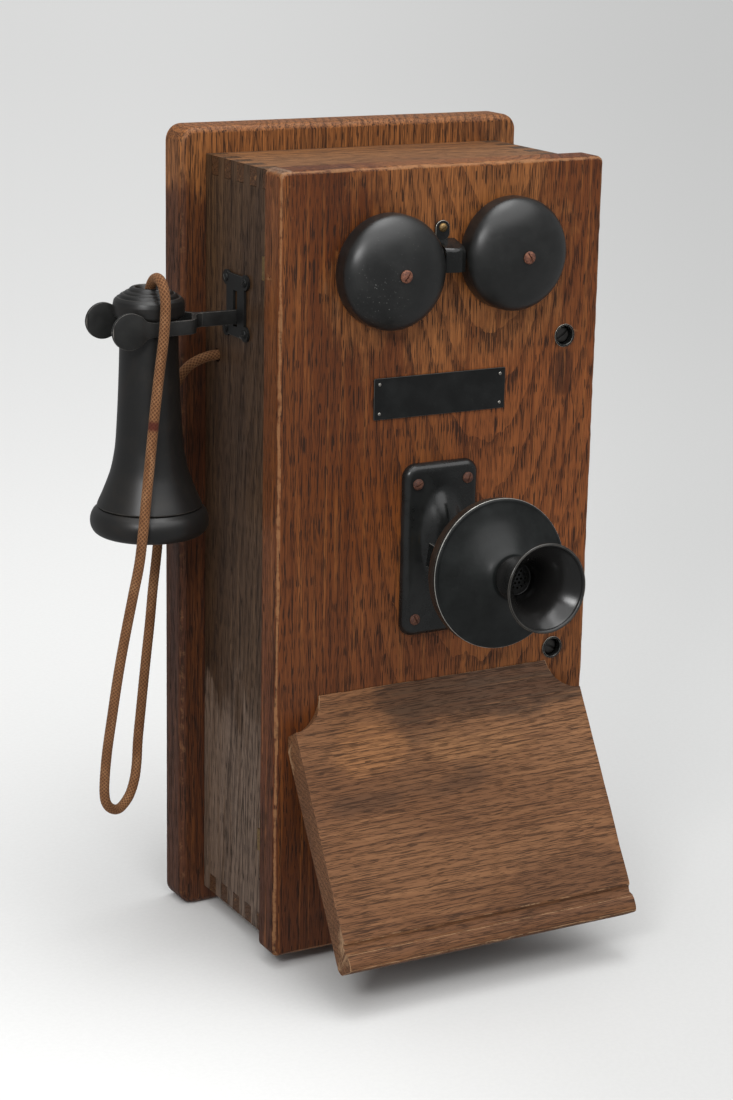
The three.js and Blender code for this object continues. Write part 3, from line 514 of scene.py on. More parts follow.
def japanned(name, base=(0.0062, 0.0064, 0.0061), gloss=0.36, wear=0.55, pits=0.0, speckle=(0.16, 0.16, 0.15),
             bare=(0.34, 0.32, 0.29), centre=(0, 0, 0), spread=0.02, shine=0.38):
    """Baked black enamel on metal: orange peel, dust, and bare edges. Pits gather round the centre."""
    s = Shader(name)
    cloud = s.noise(s.spot, 55, 5.0, 0.65)
    fine = s.noise(s.spot, 900, 3.0, 0.6)
    colour = s.mix(s.limits(cloud, 0.35, 0.75), base, tuple(1.9 * c for c in base))
    colour = s.mix(s.limits(fine, 0.62, 0.80, 0.0, 0.5), colour, (0.035, 0.034, 0.031))
    height = s.plus(s.times(cloud, 0.6), s.times(fine, 0.25))
    roughness = s.plus(gloss, s.times(s.math("SUBTRACT", cloud, 0.45), 0.28))
    if pits:
        offset = s.node("ShaderNodeVectorMath", operation="DISTANCE")
        s.put(offset.inputs[0], s.spot)
        offset.inputs[1].default_value = centre
        area = s.limits(offset.outputs["Value"], spread, 0.25 * spread)
        grains = s.limits(s.cells(s.spot, 620), 0.30, 0.10)
        broken = s.limits(s.noise(s.spot, 420, 4.0, 0.7), 0.52, 0.62)
        flecks = s.times(s.times(s.times(area, grains), broken), pits)
        loose = s.times(s.limits(s.cells(s.stretched((1, 1, 1), (3, 1, 2)), 300), 0.09, 0.04), 0.5 * pits)
        flecks = s.math("MAXIMUM", flecks, loose)
        colour = s.mix(flecks, colour, speckle)
        height = s.plus(height, s.times(flecks, -1.5))
        roughness = s.plus(roughness, s.times(flecks, 0.3))
    edge = s.attribute("edge")
    bared = s.limits(s.plus(s.times(edge, 0.9), s.times(s.noise(s.spot, 210, 6.0, 0.75), 0.55)), 0.98, 1.14)
    bared = s.times(bared, wear)
    colour = s.mix(bared, colour, bare)
    s.put(s.surface.inputs["Metallic"], s.times(bared, 0.6))
    normal = s.bump(height, 0.05 * MM, 0.7)
    return s.finish(colour, roughness, normal, Specular_IOR_Level=shine)


def metal(name, base, dull, gloss=0.35, tarnish=0.5, scale=120, brushed=None):
    """Bare metal with tarnish in clouds, and brushing along one axis if asked."""
    s = Shader(name)
    cloud = s.noise(s.spot, scale, 6.0, 0.7)
    spots = s.limits(s.noise(s.spot, 5 * scale, 4.0, 0.7), 0.58, 0.70)
    share = s.math("MAXIMUM", s.times(s.limits(cloud, 0.40, 0.68), tarnish), s.times(spots, 0.6 * tarnish))
    colour = s.mix(share, base, dull)
    scale_of = [1.0, 1.0, 1.0]
    if brushed is not None:
        scale_of[GRAIN[brushed]] = 0.04
    lines = s.noise(s.stretched(scale_of), 1400, 3.0, 0.6)
    roughness = s.plus(gloss, s.plus(s.times(share, 0.35), s.times(lines, 0.12)))
    s.put(s.surface.inputs["Metallic"], s.math("SUBTRACT", 1.0, s.times(share, 0.75)))
    normal = s.bump(s.plus(lines, s.times(cloud, 0.8)), 0.03 * MM, 0.6)
    return s.finish(colour, roughness, normal)


def rust(name, pale=1.0):
    """A screw gone brown, with scale and darker pits."""
    s = Shader(name)
    cloud = s.noise(s.spot, 520, 6.0, 0.75)
    colour = s.ramp(cloud, (0.30, (0.030, 0.012, 0.008)), (0.48, (0.115 * pale, 0.038 * pale, 0.020 * pale)),
                    (0.66, (0.26 * pale, 0.105 * pale, 0.056 * pale)))
    roughness = s.plus(0.55, s.times(cloud, 0.35))
    s.put(s.surface.inputs["Metallic"], s.limits(cloud, 0.62, 0.75, 0.0, 0.6))
    return s.finish(colour, roughness, s.bump(cloud, 0.25 * MM, 0.9))


def hard_rubber(name, base=(0.0085, 0.0082, 0.0078), gloss=0.26, brown=(0.026, 0.019, 0.013), veil=0.35):
    """Polished black hard rubber with handling haze and a faint brown bloom."""
    s = Shader(name)
    haze = s.noise(s.spot, 38, 5.0, 0.65, 0.6)
    streak = s.noise(s.stretched((1, 1, 0.12)), 240, 4.0, 0.65)
    colour = s.mix(s.times(s.limits(haze, 0.45, 0.75), veil), base, brown)
    colour = s.mix(s.limits(streak, 0.66, 0.85, 0.0, 0.45), colour, (0.045, 0.042, 0.038))
    edge = s.attribute("edge")
    rim = s.limits(s.plus(s.times(edge, 0.9), s.times(s.noise(s.spot, 170, 5.0, 0.7), 0.5)), 0.98, 1.2)
    colour = s.mix(s.times(rim, 0.55), colour, (0.105, 0.095, 0.080))
    roughness = s.plus(gloss, s.plus(s.times(haze, 0.16), s.times(streak, 0.08)))
    normal = s.bump(s.plus(haze, s.times(streak, 0.4)), 0.05 * MM, 0.5)
    return s.finish(colour, roughness, normal, Specular_IOR_Level=0.5)


def windings(name, base, dark, pitch, axis):
    """Fine wire or tape wound in turns along one axis."""
    s = Shader(name)
    part = s.parts()[GRAIN[axis]]
    turns = s.math("SINE", s.times(part, 2 * math.pi / pitch))
    cloud = s.noise(s.spot, 130, 4.0, 0.6)
    colour = s.mix(s.limits(turns, -0.2, 0.9), dark, base)
    colour = s.mix(s.limits(cloud, 0.5, 0.75, 0.0, 0.5), colour, dark)
    return s.finish(colour, 0.62, s.bump(turns, 0.25 * MM, 0.8))


def pasteboard(name):
    """The buff card wrapper of a dry cell, scuffed and water-marked."""
    s = Shader(name)
    fibre = s.noise(s.stretched((1, 1, 0.3)), 700, 4.0, 0.7)
    mark = s.noise(s.spot, 26, 5.0, 0.6, 1.0)
    colour = s.ramp(mark, (0.32, (0.16, 0.115, 0.055)), (0.55, (0.34, 0.265, 0.15)),
                    (0.72, (0.42, 0.34, 0.21)))
    colour = s.mix(s.limits(fibre, 0.55, 0.75, 0.0, 0.4), colour, (0.20, 0.15, 0.08))
    return s.finish(colour, 0.85, s.bump(fibre, 0.08 * MM, 0.7))


def pitch_seal(name):
    """Black sealing pitch with a wrinkled skin."""
    s = Shader(name)
    wrinkle = s.noise(s.spot, 240, 5.0, 0.6, 1.5)
    colour = s.mix(s.limits(wrinkle, 0.4, 0.7), (0.010, 0.009, 0.008), (0.040, 0.034, 0.028))
    return s.finish(colour, s.plus(0.35, s.times(wrinkle, 0.3)), s.bump(wrinkle, 0.5 * MM, 0.8))


BRAID_STRANDS, BRAID_ROW = 8, 2.8 * MM


def braid(name, length, stain_share, stain_width):
    """Braided brown cotton. U runs once round the cord and V along it, in turns of the braid."""
    s = Shader(name)
    u, v, _ = s.parts(s.node("ShaderNodeUVMap", uv_map="braid").outputs[0])
    turns, rows = BRAID_STRANDS, length / BRAID_ROW
    left = s.plus(s.times(u, turns), s.times(v, rows))
    right = s.math("SUBTRACT", s.times(u, turns), s.times(v, rows))
    one = s.math("PINGPONG", left, 0.5)
    two = s.math("PINGPONG", right, 0.5)
    over = s.math("MAXIMUM", one, two)
    crossing = s.math("MINIMUM", one, two)
    fibres = s.noise(s.joined(s.times(left, 7.0), s.times(right, 1.2), 0.0), 5.0, 3.0, 0.7)
    fade = s.noise(s.joined(s.times(u, 0.6), s.times(v, 14.0), 0.0), 2.2, 5.0, 0.7)
    colour = s.ramp(fade, (0.30, (0.135, 0.056, 0.022)), (0.52, (0.215, 0.098, 0.042)),
                    (0.72, (0.31, 0.165, 0.080)))
    # Painted shade: darker in the gaps between the strands.
    colour = s.mix(s.limits(over, 0.44, 0.22, 0.0, 0.80), colour, (0.060, 0.022, 0.009))
    # Painted highlight: lighter where the strands cross and stand proud.
    colour = s.mix(s.limits(crossing, 0.30, 0.46, 0.0, 0.22), colour, (0.46, 0.25, 0.11))
    colour = s.mix(s.limits(fibres, 0.58, 0.75, 0.0, 0.45), colour, (0.130, 0.046, 0.016))
    off = s.math("ABSOLUTE", s.math("SUBTRACT", v, stain_share))
    colour = s.mix(s.limits(off, stain_width, 0.3 * stain_width, 0.0, 0.85), colour, (0.060, 0.008, 0.006))
    height = s.plus(over, s.times(fibres, 0.35))
    return s.finish(colour, 0.88, s.bump(height, 0.30 * MM, 0.9), Specular_IOR_Level=0.2, Sheen_Weight=0.12,
                    Sheen_Roughness=0.5, Sheen_Tint=(0.75, 0.50, 0.32, 1.0))


def studio_paper(name):
    """Pale paper with painted shade: it darkens a little towards the right of the set and into the distance.
    """
    s = Shader(name)
    grain = s.noise(s.spot, 300, 3.0, 0.6)
    ahead = Vector((-math.sin(CAMERA_AZIMUTH), math.cos(CAMERA_AZIMUTH), 0.0))
    right = Vector((math.cos(CAMERA_AZIMUTH), math.sin(CAMERA_AZIMUTH), 0.0))
    x, y, _ = s.parts()

    def from_camera(direction):
        return s.plus(s.plus(s.times(x, direction.x), s.times(y, direction.y)), -CAMERA_PLACE.dot(direction))

    distance = from_camera(ahead)
    sideways = s.math("DIVIDE", from_camera(right), s.math("MAXIMUM", distance, 0.5))
    colour = s.mix(s.limits(grain, 0.35, 0.65), PAPER, tuple(1.02 * c for c in PAPER))
    # Painted shade: darker to the right of the view and far off.
    colour = s.mix(s.limits(sideways, -0.11, 0.17, 0.0, 0.24), colour, (0.10, 0.105, 0.105))
    colour = s.mix(s.limits(distance, 2.0, 9.0, 0.0, 0.06), colour, (0.12, 0.12, 0.12))
    return s.finish(colour, 0.9, None, Specular_IOR_Level=0.15)


# ---------------------------------------------------------------- camera, floor and light

def camera():
    data = bpy.data.cameras.new("camera")
    data.lens = CAMERA_LENS
    data.sensor_width = 36.0
    data.sensor_fit = "AUTO"
    data.clip_end = 100.0
    holder = bpy.data.objects.new("camera", data)
    SCENE.collection.objects.link(holder)
    back = Vector((math.sin(CAMERA_AZIMUTH) * math.cos(CAMERA_ELEVATION),
                   -math.cos(CAMERA_AZIMUTH) * math.cos(CAMERA_ELEVATION), math.sin(CAMERA_ELEVATION)))
    right = Vector((math.cos(CAMERA_AZIMUTH), math.sin(CAMERA_AZIMUTH), 0.0))
    up = back.cross(right)
    level = Matrix((right, up, back)).transposed()
    turn = Matrix.Rotation(CAMERA_ROLL, 3, "Z")
    holder.matrix_world = Matrix.Translation(CAMERA_PLACE) @ (level @ turn).to_4x4()
    SCENE.camera = holder


def floor():
    reach = 30.0
    corners = [(-reach, -reach, FLOOR_Z), (reach, -reach, FLOOR_Z), (reach, reach, FLOOR_Z),
               (-reach, reach, FLOOR_Z)]
    sheet = new_piece("floor", corners, [(0, 1, 2, 3)])
    sheet.data.materials.append(studio_paper("paper"))
    sheet.visible_glossy = False


def lamp(name, kind, place, target, energy, **settings):
    data = bpy.data.lights.new(name, kind)
    data.energy = energy
    for key, value in settings.items():
        setattr(data, key, value)
    holder = bpy.data.objects.new(name, data)
    SCENE.collection.objects.link(holder)
    holder.location = place
    holder.rotation_euler = (Vector(target) - Vector(place)).to_track_quat("-Z", "Y").to_euler()


def lights():
    world = bpy.data.worlds.new("studio")
    world.use_nodes = True
    background = world.node_tree.nodes["Background"]
    background.inputs["Color"].default_value = (0.97, 0.985, 1.0, 1.0)
    background.inputs["Strength"].default_value = 0.29
    SCENE.world = world
    lamp("key", "SUN", (0.20, -1.0, 2.3), (0, 0, 0), 2.5, angle=math.radians(80))
    lamp("window", "AREA", (-1.35, -1.35, 1.05), (-0.05, -0.12, 0.05), 15.0, shape="RECTANGLE", size=0.6,
         size_y=0.4)
    lamp("overhead", "AREA", (0.1, -0.15, 1.45), (0, -0.12, 0.1), 7.0, shape="RECTANGLE", size=1.1,
         size_y=0.7)
    SCENE.view_settings.view_transform = "Standard"
    SCENE.view_settings.look = "None"


# ---------------------------------------------------------------- the cord

CORD_DIAMETER = 6.8 * MM
# The same route as in the CAD model, in metres: out of the case, the hanging loop, over the receiver and
# into its top.
CORD_ROUTE = [
    (-.096, -.0438, .127), (-.108, -.0438, .127), (-.120, -.044, .1262), (-.132, -.0435, .1215),
    (-.140, -.042, .112),
    (-.146, -.040, .096), (-.150, -.0385, .072), (-.151, -.0375, .044), (-.152, -.037, .015),
    (-.154, -.037, -.008),
    (-.158, -.039, -.033), (-.1615, -.0415, -.056), (-.166, -.044, -.084), (-.171, -.048, -.112),
    (-.1755, -.0525, -.134), (-.1785, -.0568, -.1495), (-.182, -.0603, -.1605), (-.1874, -.0629, -.1704),
    (-.1968, -.0674, -.1758), (-.206, -.072, -.1708), (-.2103, -.0754, -.159), (-.2105, -.080, -.132),
    (-.209, -.087, -.100), (-.207, -.093, -.070), (-.2045, -.099, -.042), (-.2015, -.105, -.014),
    (-.199, -.1095, .008), (-.1973, -.112, .030), (-.1935, -.1098, .056), (-.1885, -.106, .085),
    (-.185, -.104, .108), (-.1815, -.1032, .132), (-.179, -.1038, .152), (-.1779, -.104, .166),
    (-.1774, -.1036, .1755), (-.177, -.101, .183), (-.1766, -.0958, .188), (-.1762, -.0892, .1898),
    (-.1759, -.0824, .188), (-.1758, -.0772, .183), (-.1759, -.0749, .176), (-.176, -.0745, .170),
]


def even_line(points, step):
    """A smooth line through the points, cut into equal steps."""
    fine = np.array([tuple(p) for p in through(points, 24)])
    lengths = np.concatenate([[0], np.cumsum(np.linalg.norm(np.diff(fine, axis=0), axis=1))])
    marks = np.linspace(0, lengths[-1], max(2, round(lengths[-1] / step)))
    return np.stack([np.interp(marks, lengths, fine[:, i]) for i in range(3)], 1), lengths[-1]


def receiver_cord():
    """A braided tube: the strands of the braid stand a little proud of its round core."""
    line, length = even_line(CORD_ROUTE, 0.58 * MM)
    tangents = np.gradient(line, axis=0)
    tangents /= np.linalg.norm(tangents, axis=1)[:, None]
    side = np.cross(tangents[0], (0, 1, 0))
    side /= np.linalg.norm(side)
    sides, strands, row = 40, BRAID_STRANDS, BRAID_ROW
    radius, proud = CORD_DIAMETER / 2 - 0.08 * MM, 0.16 * MM
    rings = []
    for i, (point, tangent) in enumerate(zip(line, tangents)):
        side = side - tangent * side.dot(tangent)
        side /= np.linalg.norm(side)
        other = np.cross(tangent, side)
        v = length * i / (len(line) - 1) / row
        ring = []
        for k in range(sides):
            u = k / sides * strands
            one, two = abs((u + v) % 1 - 0.5), abs((u - v) % 1 - 0.5)
            r = radius - proud / 2 + proud * 2 * max(0.5 - one, 0.5 - two)
            a = 2 * math.pi * k / sides
            ring.append(Vector(point + r * (math.cos(a) * side + math.sin(a) * other)))
        rings.append(ring)
    cord = loft("receiver_cord_braid", rings)
    layer = cord.data.uv_layers.new(name="braid")
    for polygon in cord.data.polygons:
        columns = [cord.data.loops[i].vertex_index % sides for i in polygon.loop_indices]
        seam = max(columns) - min(columns) > sides / 2
        for i, column in zip(polygon.loop_indices, columns):
            turn = (column + sides if seam and column < sides / 2 else column) / sides
            layer.data[i].uv = (turn, cord.data.loops[i].vertex_index // sides / (len(line) - 1))
    shaded(cord, 60)
    heights = line[:, 2]
    front = np.arange(len(line)) > len(line) // 2
    stain = float(np.argmin(np.where(front, np.abs(heights - 0.098), 9)) / len(line))
    cord.data.materials.append(braid("braided_cotton", length, stain, 0.006))
    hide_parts("receiver_cord")
    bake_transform(cord)


camera()
floor()
lights()
receiver_cord()

# ---------------------------------------------------------------- finishes

PORE = (0.0150, 0.0060, 0.0030)
# Painted light: a lighter tone laid on the tops of the door and backboard, where the light from above falls.
PAINTED_TOP_LIGHT = (0.330, 0.125, 0.036)

OAK_DOOR = oak(
    "oak_door", "z", 3, ((0.085, 0.0215, 0.0050), (0.160, 0.0450, 0.0105), (0.240, 0.0800, 0.0190)), PORE,
    ring=6.0,
    pith=(0.030, 0.045), lean=0.16, strip=(-0.066, -0.42),
    patches=[
        # Painted light: lighter over the door's upper middle.
        ((-0.07, None, 0.13), (0.09, None, 0.30), 0.05, PAINTED_TOP_LIGHT, 0.75),
        # Painted light: a lighter tone over the door's centre and right half, the side the light falls on.
        ((0.0, None, -0.06), (0.13, None, 0.14), 0.05, (0.270, 0.078, 0.020), 0.50),
        # Painted highlight: a pale line along the top edge near the left corner, where the rounded edge
        # catches the light.
        ((DOOR_LOW.x - 0.01, None, DOOR_HIGH.z - 0.002), (DOOR_LOW.x + 0.009, None, None), 0.003,
         (0.34, 0.23, 0.15), 0.7),
        # Painted shade: darker towards the bottom of the door, below the shelf.
        ((None, None, None), (None, None, -0.15), 0.05, (0.045, 0.014, 0.005), 0.45),
        ((0.086, None, 0.100), (0.102, None, 0.135), 0.006, (0.030, 0.011, 0.006), 0.7),
    ])
# The backboard's dark base tones are partly painted shade, where it sits back in the case's shadow, and
# partly its own colour.
OAK_BOARD = oak(
    "oak_board", "z", 8, ((0.050, 0.0140, 0.0050), (0.095, 0.0290, 0.0095), (0.150, 0.0510, 0.0160)), PORE,
    ring=5.0,
    pith=(-0.08, 0.03), lean=-0.08, stains=0.5,
    # Painted light: lighter along the top of the backboard.
    patches=[((None, None, 0.235), (None, None, None), 0.02, PAINTED_TOP_LIGHT, 0.90)])
# The sides' darker, greyer tones are partly painted shade of a side turned from the light, and partly the
# boards' own colour.
OAK_SIDE = oak(
    "oak_side", "z", 14, ((0.050, 0.0240, 0.0110), (0.086, 0.0440, 0.0200), (0.116, 0.0620, 0.0300)),
    (0.012, 0.0060, 0.0035), gloss=0.42, ring=4.5, pith=(-0.02, 0.05), lean=0.12,
    # Painted reflection: a pale grey veil on the lower side, standing in for the floor's glossy reflection.
    patches=[((None, None, None), (None, None, -0.10), 0.06, (0.230, 0.160, 0.118), 0.72)])
OAK_END = oak(
    "oak_end", "x", 21, ((0.130, 0.0500, 0.0160), (0.210, 0.0880, 0.0300), (0.270, 0.1250, 0.0460)), PORE,
    pith=(0.30, 0.02), lean=0.05,
    # The finger ends on the left face take the side's dark colour, which is partly painted shade.
    patches=[((None, None, None), (CASE_LOW.x + 0.4 * MM, None, None), 0.0004, (0.048, 0.0230, 0.0110),
              0.90)])
OAK_SHELF = oak(
    "oak_shelf", "x", 33, ((0.105, 0.0420, 0.0165), (0.170, 0.0720, 0.0280), (0.250, 0.1150, 0.0480)),
    (0.024, 0.0120, 0.0070), gloss=0.58, ring=3.6, pith=(0.12, 0.30), lean=0.02, pore_scale=2700,
    pore_depth=0.70,
    wear=(0.42, 0.26, 0.14), stains=0.2,
    patches=[
        ((-0.050, None, -0.115), (0.12, None, -0.06), 0.020, (0.040, 0.0230, 0.0130), 0.80),
        ((-0.085, None, -0.135), (-0.035, None, -0.105), 0.014, (0.330, 0.1450, 0.0530), 0.75),
        ((-0.015, None, -0.135), (0.055, None, -0.118), 0.012, (0.330, 0.1550, 0.0620), 0.65),
        ((-0.10, None, -0.155), (0.02, None, -0.140), 0.012, (0.060, 0.0300, 0.0150), 0.55),
        ((0.02, None, -0.235), (0.12, None, -0.19), 0.03, (0.115, 0.0500, 0.0210), 0.5),
    ])
OAK_KNOB = oak(
    "oak_knob", "x", 40, ((0.018, 0.0080, 0.0050), (0.040, 0.0160, 0.0080), (0.080, 0.0340, 0.0150)),
    (0.008, 0.005, 0.004), gloss=0.3, wear=(0.20, 0.10, 0.05))
MAPLE = oak(
    "maple_block", "x", 47, ((0.20, 0.12, 0.06), (0.32, 0.20, 0.10), (0.42, 0.29, 0.16)), (0.10, 0.06, 0.03),
    gloss=0.5, ring=2.0, pore_depth=0.2, stains=0.2)
LEFT_GONG = middle("gong_left")
JAPAN_PLATE = japanned("black_japan_plate", base=(0.0068, 0.0072, 0.0070), gloss=0.26, wear=0.6, shine=0.5)
JAPAN_GUARD = japanned("black_japan_guard", gloss=0.18, wear=0.85, bare=(0.42, 0.40, 0.35))
JAPAN_GONG_LEFT = japanned(
    "black_japan_gong_left", gloss=0.36, pits=0.85, shine=0.62,
    centre=tuple(LEFT_GONG + Vector((-0.014, -0.012, -0.012))), spread=0.026)
JAPAN_GONG_RIGHT = japanned("black_japan_gong_right", gloss=0.34, pits=0.18,
                             centre=(0.07, -0.17, 0.18), spread=0.02, shine=0.58)
JAPAN_FACE = japanned("black_japan_face", base=(0.0060, 0.0068, 0.0066), gloss=0.34, wear=0.8,
                      bare=(0.40, 0.39, 0.36), shine=0.30)
CUP_FINISH = japanned("black_japan_cup", base=(0.014, 0.0095, 0.0065), gloss=0.42, wear=0.5,
                      bare=(0.20, 0.13, 0.08))
IRON = japanned("black_iron", base=(0.0105, 0.0105, 0.0100), gloss=0.46, wear=0.85, bare=(0.26, 0.24, 0.22))
PLATE_IRON = japanned("black_iron_plate", base=(0.0075, 0.0075, 0.0072), gloss=0.50, wear=0.35, shine=0.3)
NAMEPLATE = japanned("nameplate_black", base=(0.0062, 0.0066, 0.0066), gloss=0.46, wear=0.2, pits=0.6,
                     speckle=(0.060, 0.072, 0.058), centre=(0.026, DOOR_FACE, 0.1045), spread=0.013,
                     shine=0.25)
RUBBER = hard_rubber("hard_rubber")
MOUTH_RUBBER = hard_rubber("hard_rubber_mouthpiece", gloss=0.12, brown=(0.012, 0.010, 0.009))
RUST = rust("rusty_steel")
PLATE_RUST = rust("rusty_plate_screws", 0.62)
STEEL = metal("steel", (0.42, 0.42, 0.41), (0.12, 0.105, 0.09), gloss=0.32, tarnish=0.55)
BLACK_STEEL = metal("blackened_steel", (0.075, 0.072, 0.068), (0.028, 0.024, 0.021), gloss=0.38, tarnish=0.6)
NICKEL = metal("nickelled_steel", (0.46, 0.44, 0.40), (0.10, 0.085, 0.07), gloss=0.28, tarnish=0.5, scale=400)
BRASS = metal("brass", (0.50, 0.34, 0.12), (0.15, 0.10, 0.045), gloss=0.32, tarnish=0.65)
DARK_BRASS = metal("dark_brass", (0.34, 0.22, 0.09), (0.07, 0.045, 0.025), gloss=0.4, tarnish=0.8, scale=300)
MAGNET = metal("magnet_steel", (0.16, 0.17, 0.18), (0.05, 0.04, 0.035), gloss=0.42, tarnish=0.6, brushed="z")
COIL_Y = windings("coil_wrap_y", (0.10, 0.16, 0.075), (0.030, 0.055, 0.025), 0.9 * MM, "y")
COIL_X = windings("coil_wrap_x", (0.10, 0.16, 0.075), (0.030, 0.055, 0.025), 0.9 * MM, "x")
CARD = pasteboard("cell_card")
PITCH = pitch_seal("cell_pitch")

# ---------------------------------------------------------------- boards


def rounded_outline(width, height, corner, inset, step=6 * MM, corner_steps=8):
    """Points round a rectangle with rounded corners, as many at every inset, about the origin."""
    half = Vector((width / 2 - inset, height / 2 - inset))
    r = max(corner - inset, 0.25 * MM)
    counts = [max(1, round((width - 2 * corner) / step)), max(1, round((height - 2 * corner) / step))]
    points = []
    for quarter in range(4):
        sx, sy = [(1, 1), (-1, 1), (-1, -1), (1, -1)][quarter]
        centre = Vector((sx * (half.x - r), sy * (half.y - r)))
        start = quarter * math.pi / 2
        arc = [centre + r * Vector((math.cos(start + t * math.pi / 2 / corner_steps),
                                    math.sin(start + t * math.pi / 2 / corner_steps)))
               for t in range(corner_steps + 1)]
        points += arc
        nx, ny = [(-1, 1), (-1, -1), (1, -1), (1, 1)][quarter]
        following = Vector((nx * (half.x - r), ny * (half.y - r)))
        turn = start + math.pi / 2
        after = following + r * Vector((math.cos(turn), math.sin(turn)))
        count = counts[quarter % 2]
        points += [arc[-1].lerp(after, k / count) for k in range(1, count)]
    return points


def quarter_round(radius, front, sign, steps=5):
    """(inset, depth) pairs of a rounded front edge, where depth runs from the side towards the front."""
    return [(radius * (1 - math.cos(a)), front - sign * radius * (1 - math.sin(a)))
            for a in (math.pi / 2 * k / steps for k in range(steps + 1))]


def slab(name, low, high, corner, front_round, back_round=0.8 * MM, step=6 * MM):
    """A board lying on its back face at high.y, with its front at low.y: rounded corners and edges."""
    width, height = high.x - low.x, high.z - low.z
    centre = Vector(((low.x + high.x) / 2, (low.z + high.z) / 2))
    levels = [(inset, y) for inset, y in quarter_round(back_round, high.y, 1, 2)][::-1]
    levels += quarter_round(front_round, low.y, -1)
    rings = []
    for inset, y in levels:
        outline = rounded_outline(width, height, corner, inset, step)
        rings.append([Vector((p.x + centre.x, y, p.y + centre.y)) for p in outline])
    return loft(name, rings)


def backboard():
    board = slab("backboard_oak", BOARD_LOW, BOARD_HIGH, 11 * MM, 5 * MM)
    worn(board, 0.55 * MM, 14 * MM, 2)
    holes = [cutter_rod((x, BOARD_LOW.y - 2 * MM, z), (x, BOARD_HIGH.y + 2 * MM, z), 3.2 * MM)
             for x in (-60 * MM, 60 * MM) for z in (-228 * MM, 228 * MM)]
    combine(board, holes, "DIFFERENCE")
    dressed(board, 3, 40, "case", OAK_BOARD, "oak", ["backboard"], weighted=True)


def door():
    panel = slab("door_oak", DOOR_LOW, DOOR_HIGH, 5 * MM, 3 * MM)
    worn(panel, 0.50 * MM, 9 * MM, 5)
    front, back = DOOR_LOW.y, DOOR_HIGH.y
    cuts = [cutter_box((-6.5 * MM, front - 2 * MM, 199.5 * MM), (6.5 * MM, back + 2 * MM, 206.5 * MM))]
    for latch in ("latch_cup_upper", "latch_cup_lower"):
        at = middle(latch)
        cuts.append(cutter_rod((at.x, front - 2 * MM, at.z), (at.x, front + 9 * MM, at.z), 7.5 * MM))
        cuts.append(cutter_rod((at.x, front, at.z), (at.x, back + 2 * MM, at.z), 3.2 * MM))
    nail = Vector((DOOR_LOW.x, -137 * MM, 194 * MM))
    cuts.append(cutter_rod(nail - Vector((1 * MM, 0, 0)), nail + Vector((3 * MM, 0, 0)), 0.9 * MM, 16))
    combine(panel, cuts, "DIFFERENCE")
    dressed(panel, 3, 40, "door", OAK_DOOR, "oak", ["door_panel"], weighted=True)


SHELF_SLOPE = math.radians(30.5)
SHELF_LENGTH, SHELF_THICK, SHELF_NOTCH = 182.4, 18.0, 22.5
SHELF_TOP_Z = -84.2


def writing_shelf():
    """A sloping board with round notches at its upper corners and a pencil groove above its lip."""
    back = (DOOR_FACE - 0.3 * MM) / MM
    down = Vector((-math.sin(SHELF_SLOPE), -math.cos(SHELF_SLOPE)))
    inward = Vector((math.cos(SHELF_SLOPE), -math.sin(SHELF_SLOPE)))

    def at(along, deep):
        return Vector((back, SHELF_TOP_Z)) + down * along + inward * deep

    end, thick = SHELF_LENGTH, SHELF_THICK
    lip = []
    for k in range(9):
        a = math.pi * k / 8
        lip.append(at(end - 6 - 6 * math.cos(a), 1.5 - 2.5 * math.sin(a)))
    under = thick / math.tan(SHELF_SLOPE)
    corner = Vector((back, SHELF_TOP_Z - thick / math.sin(SHELF_SLOPE)))
    groove = [at(end - 19, 0), at(end - 17.2, 2.4), at(end - 13.2, 2.4)]
    profile = [at(0, 0), *[at(end * k / 12, 0) for k in range(1, 11)], *groove, *lip, at(end, thick - 3),
               at(end - 3, thick), *[at(under + 1 + (end - 4 - under) * k / 8, thick)
                                     for k in range(7, -1, -1)], corner]
    rounded = filleted(profile, 0.9, 3, closed=True)
    half = size("writing_shelf").x / 2
    ease = 0.8 * MM
    count = 48
    stations = [(-half, ease), (-half + 0.3 * ease, 0.3 * ease), (-half + ease, 0.0)]
    stations += [(-half + ease + (2 * half - 2 * ease) * k / count, 0.0) for k in range(1, count)]
    stations += [(half - ease, 0.0), (half - 0.3 * ease, 0.3 * ease), (half, ease)]
    centre = sum(rounded, Vector((0, 0))) / len(rounded)
    rings = []
    for x, inset in stations:
        ring = []
        for p in rounded:
            pull = (centre - p)
            shrink = min(1.0, inset / MM / max(pull.length, 1e-6))
            q = p + pull * shrink
            ring.append(Vector((x, q.x * MM, q.y * MM)))
        rings.append(ring)
    board = loft("writing_shelf_oak", rings)
    axis = Vector((0, inward.x, inward.y))
    cuts = []
    for side in (-1, 1):
        middle_point = Vector((side * half, back * MM, SHELF_TOP_Z * MM))
        cuts.append(cutter_rod(middle_point - axis * 30 * MM, middle_point + axis * 30 * MM, SHELF_NOTCH * MM,
                               96))
    combine(board, cuts, "DIFFERENCE")
    worn(board, 0.45 * MM, 7 * MM, 9, radius=1.5 * MM)
    dressed(board, 1.5, 35, "door", OAK_SHELF, "oak_shelf", ["writing_shelf"], weighted=True)


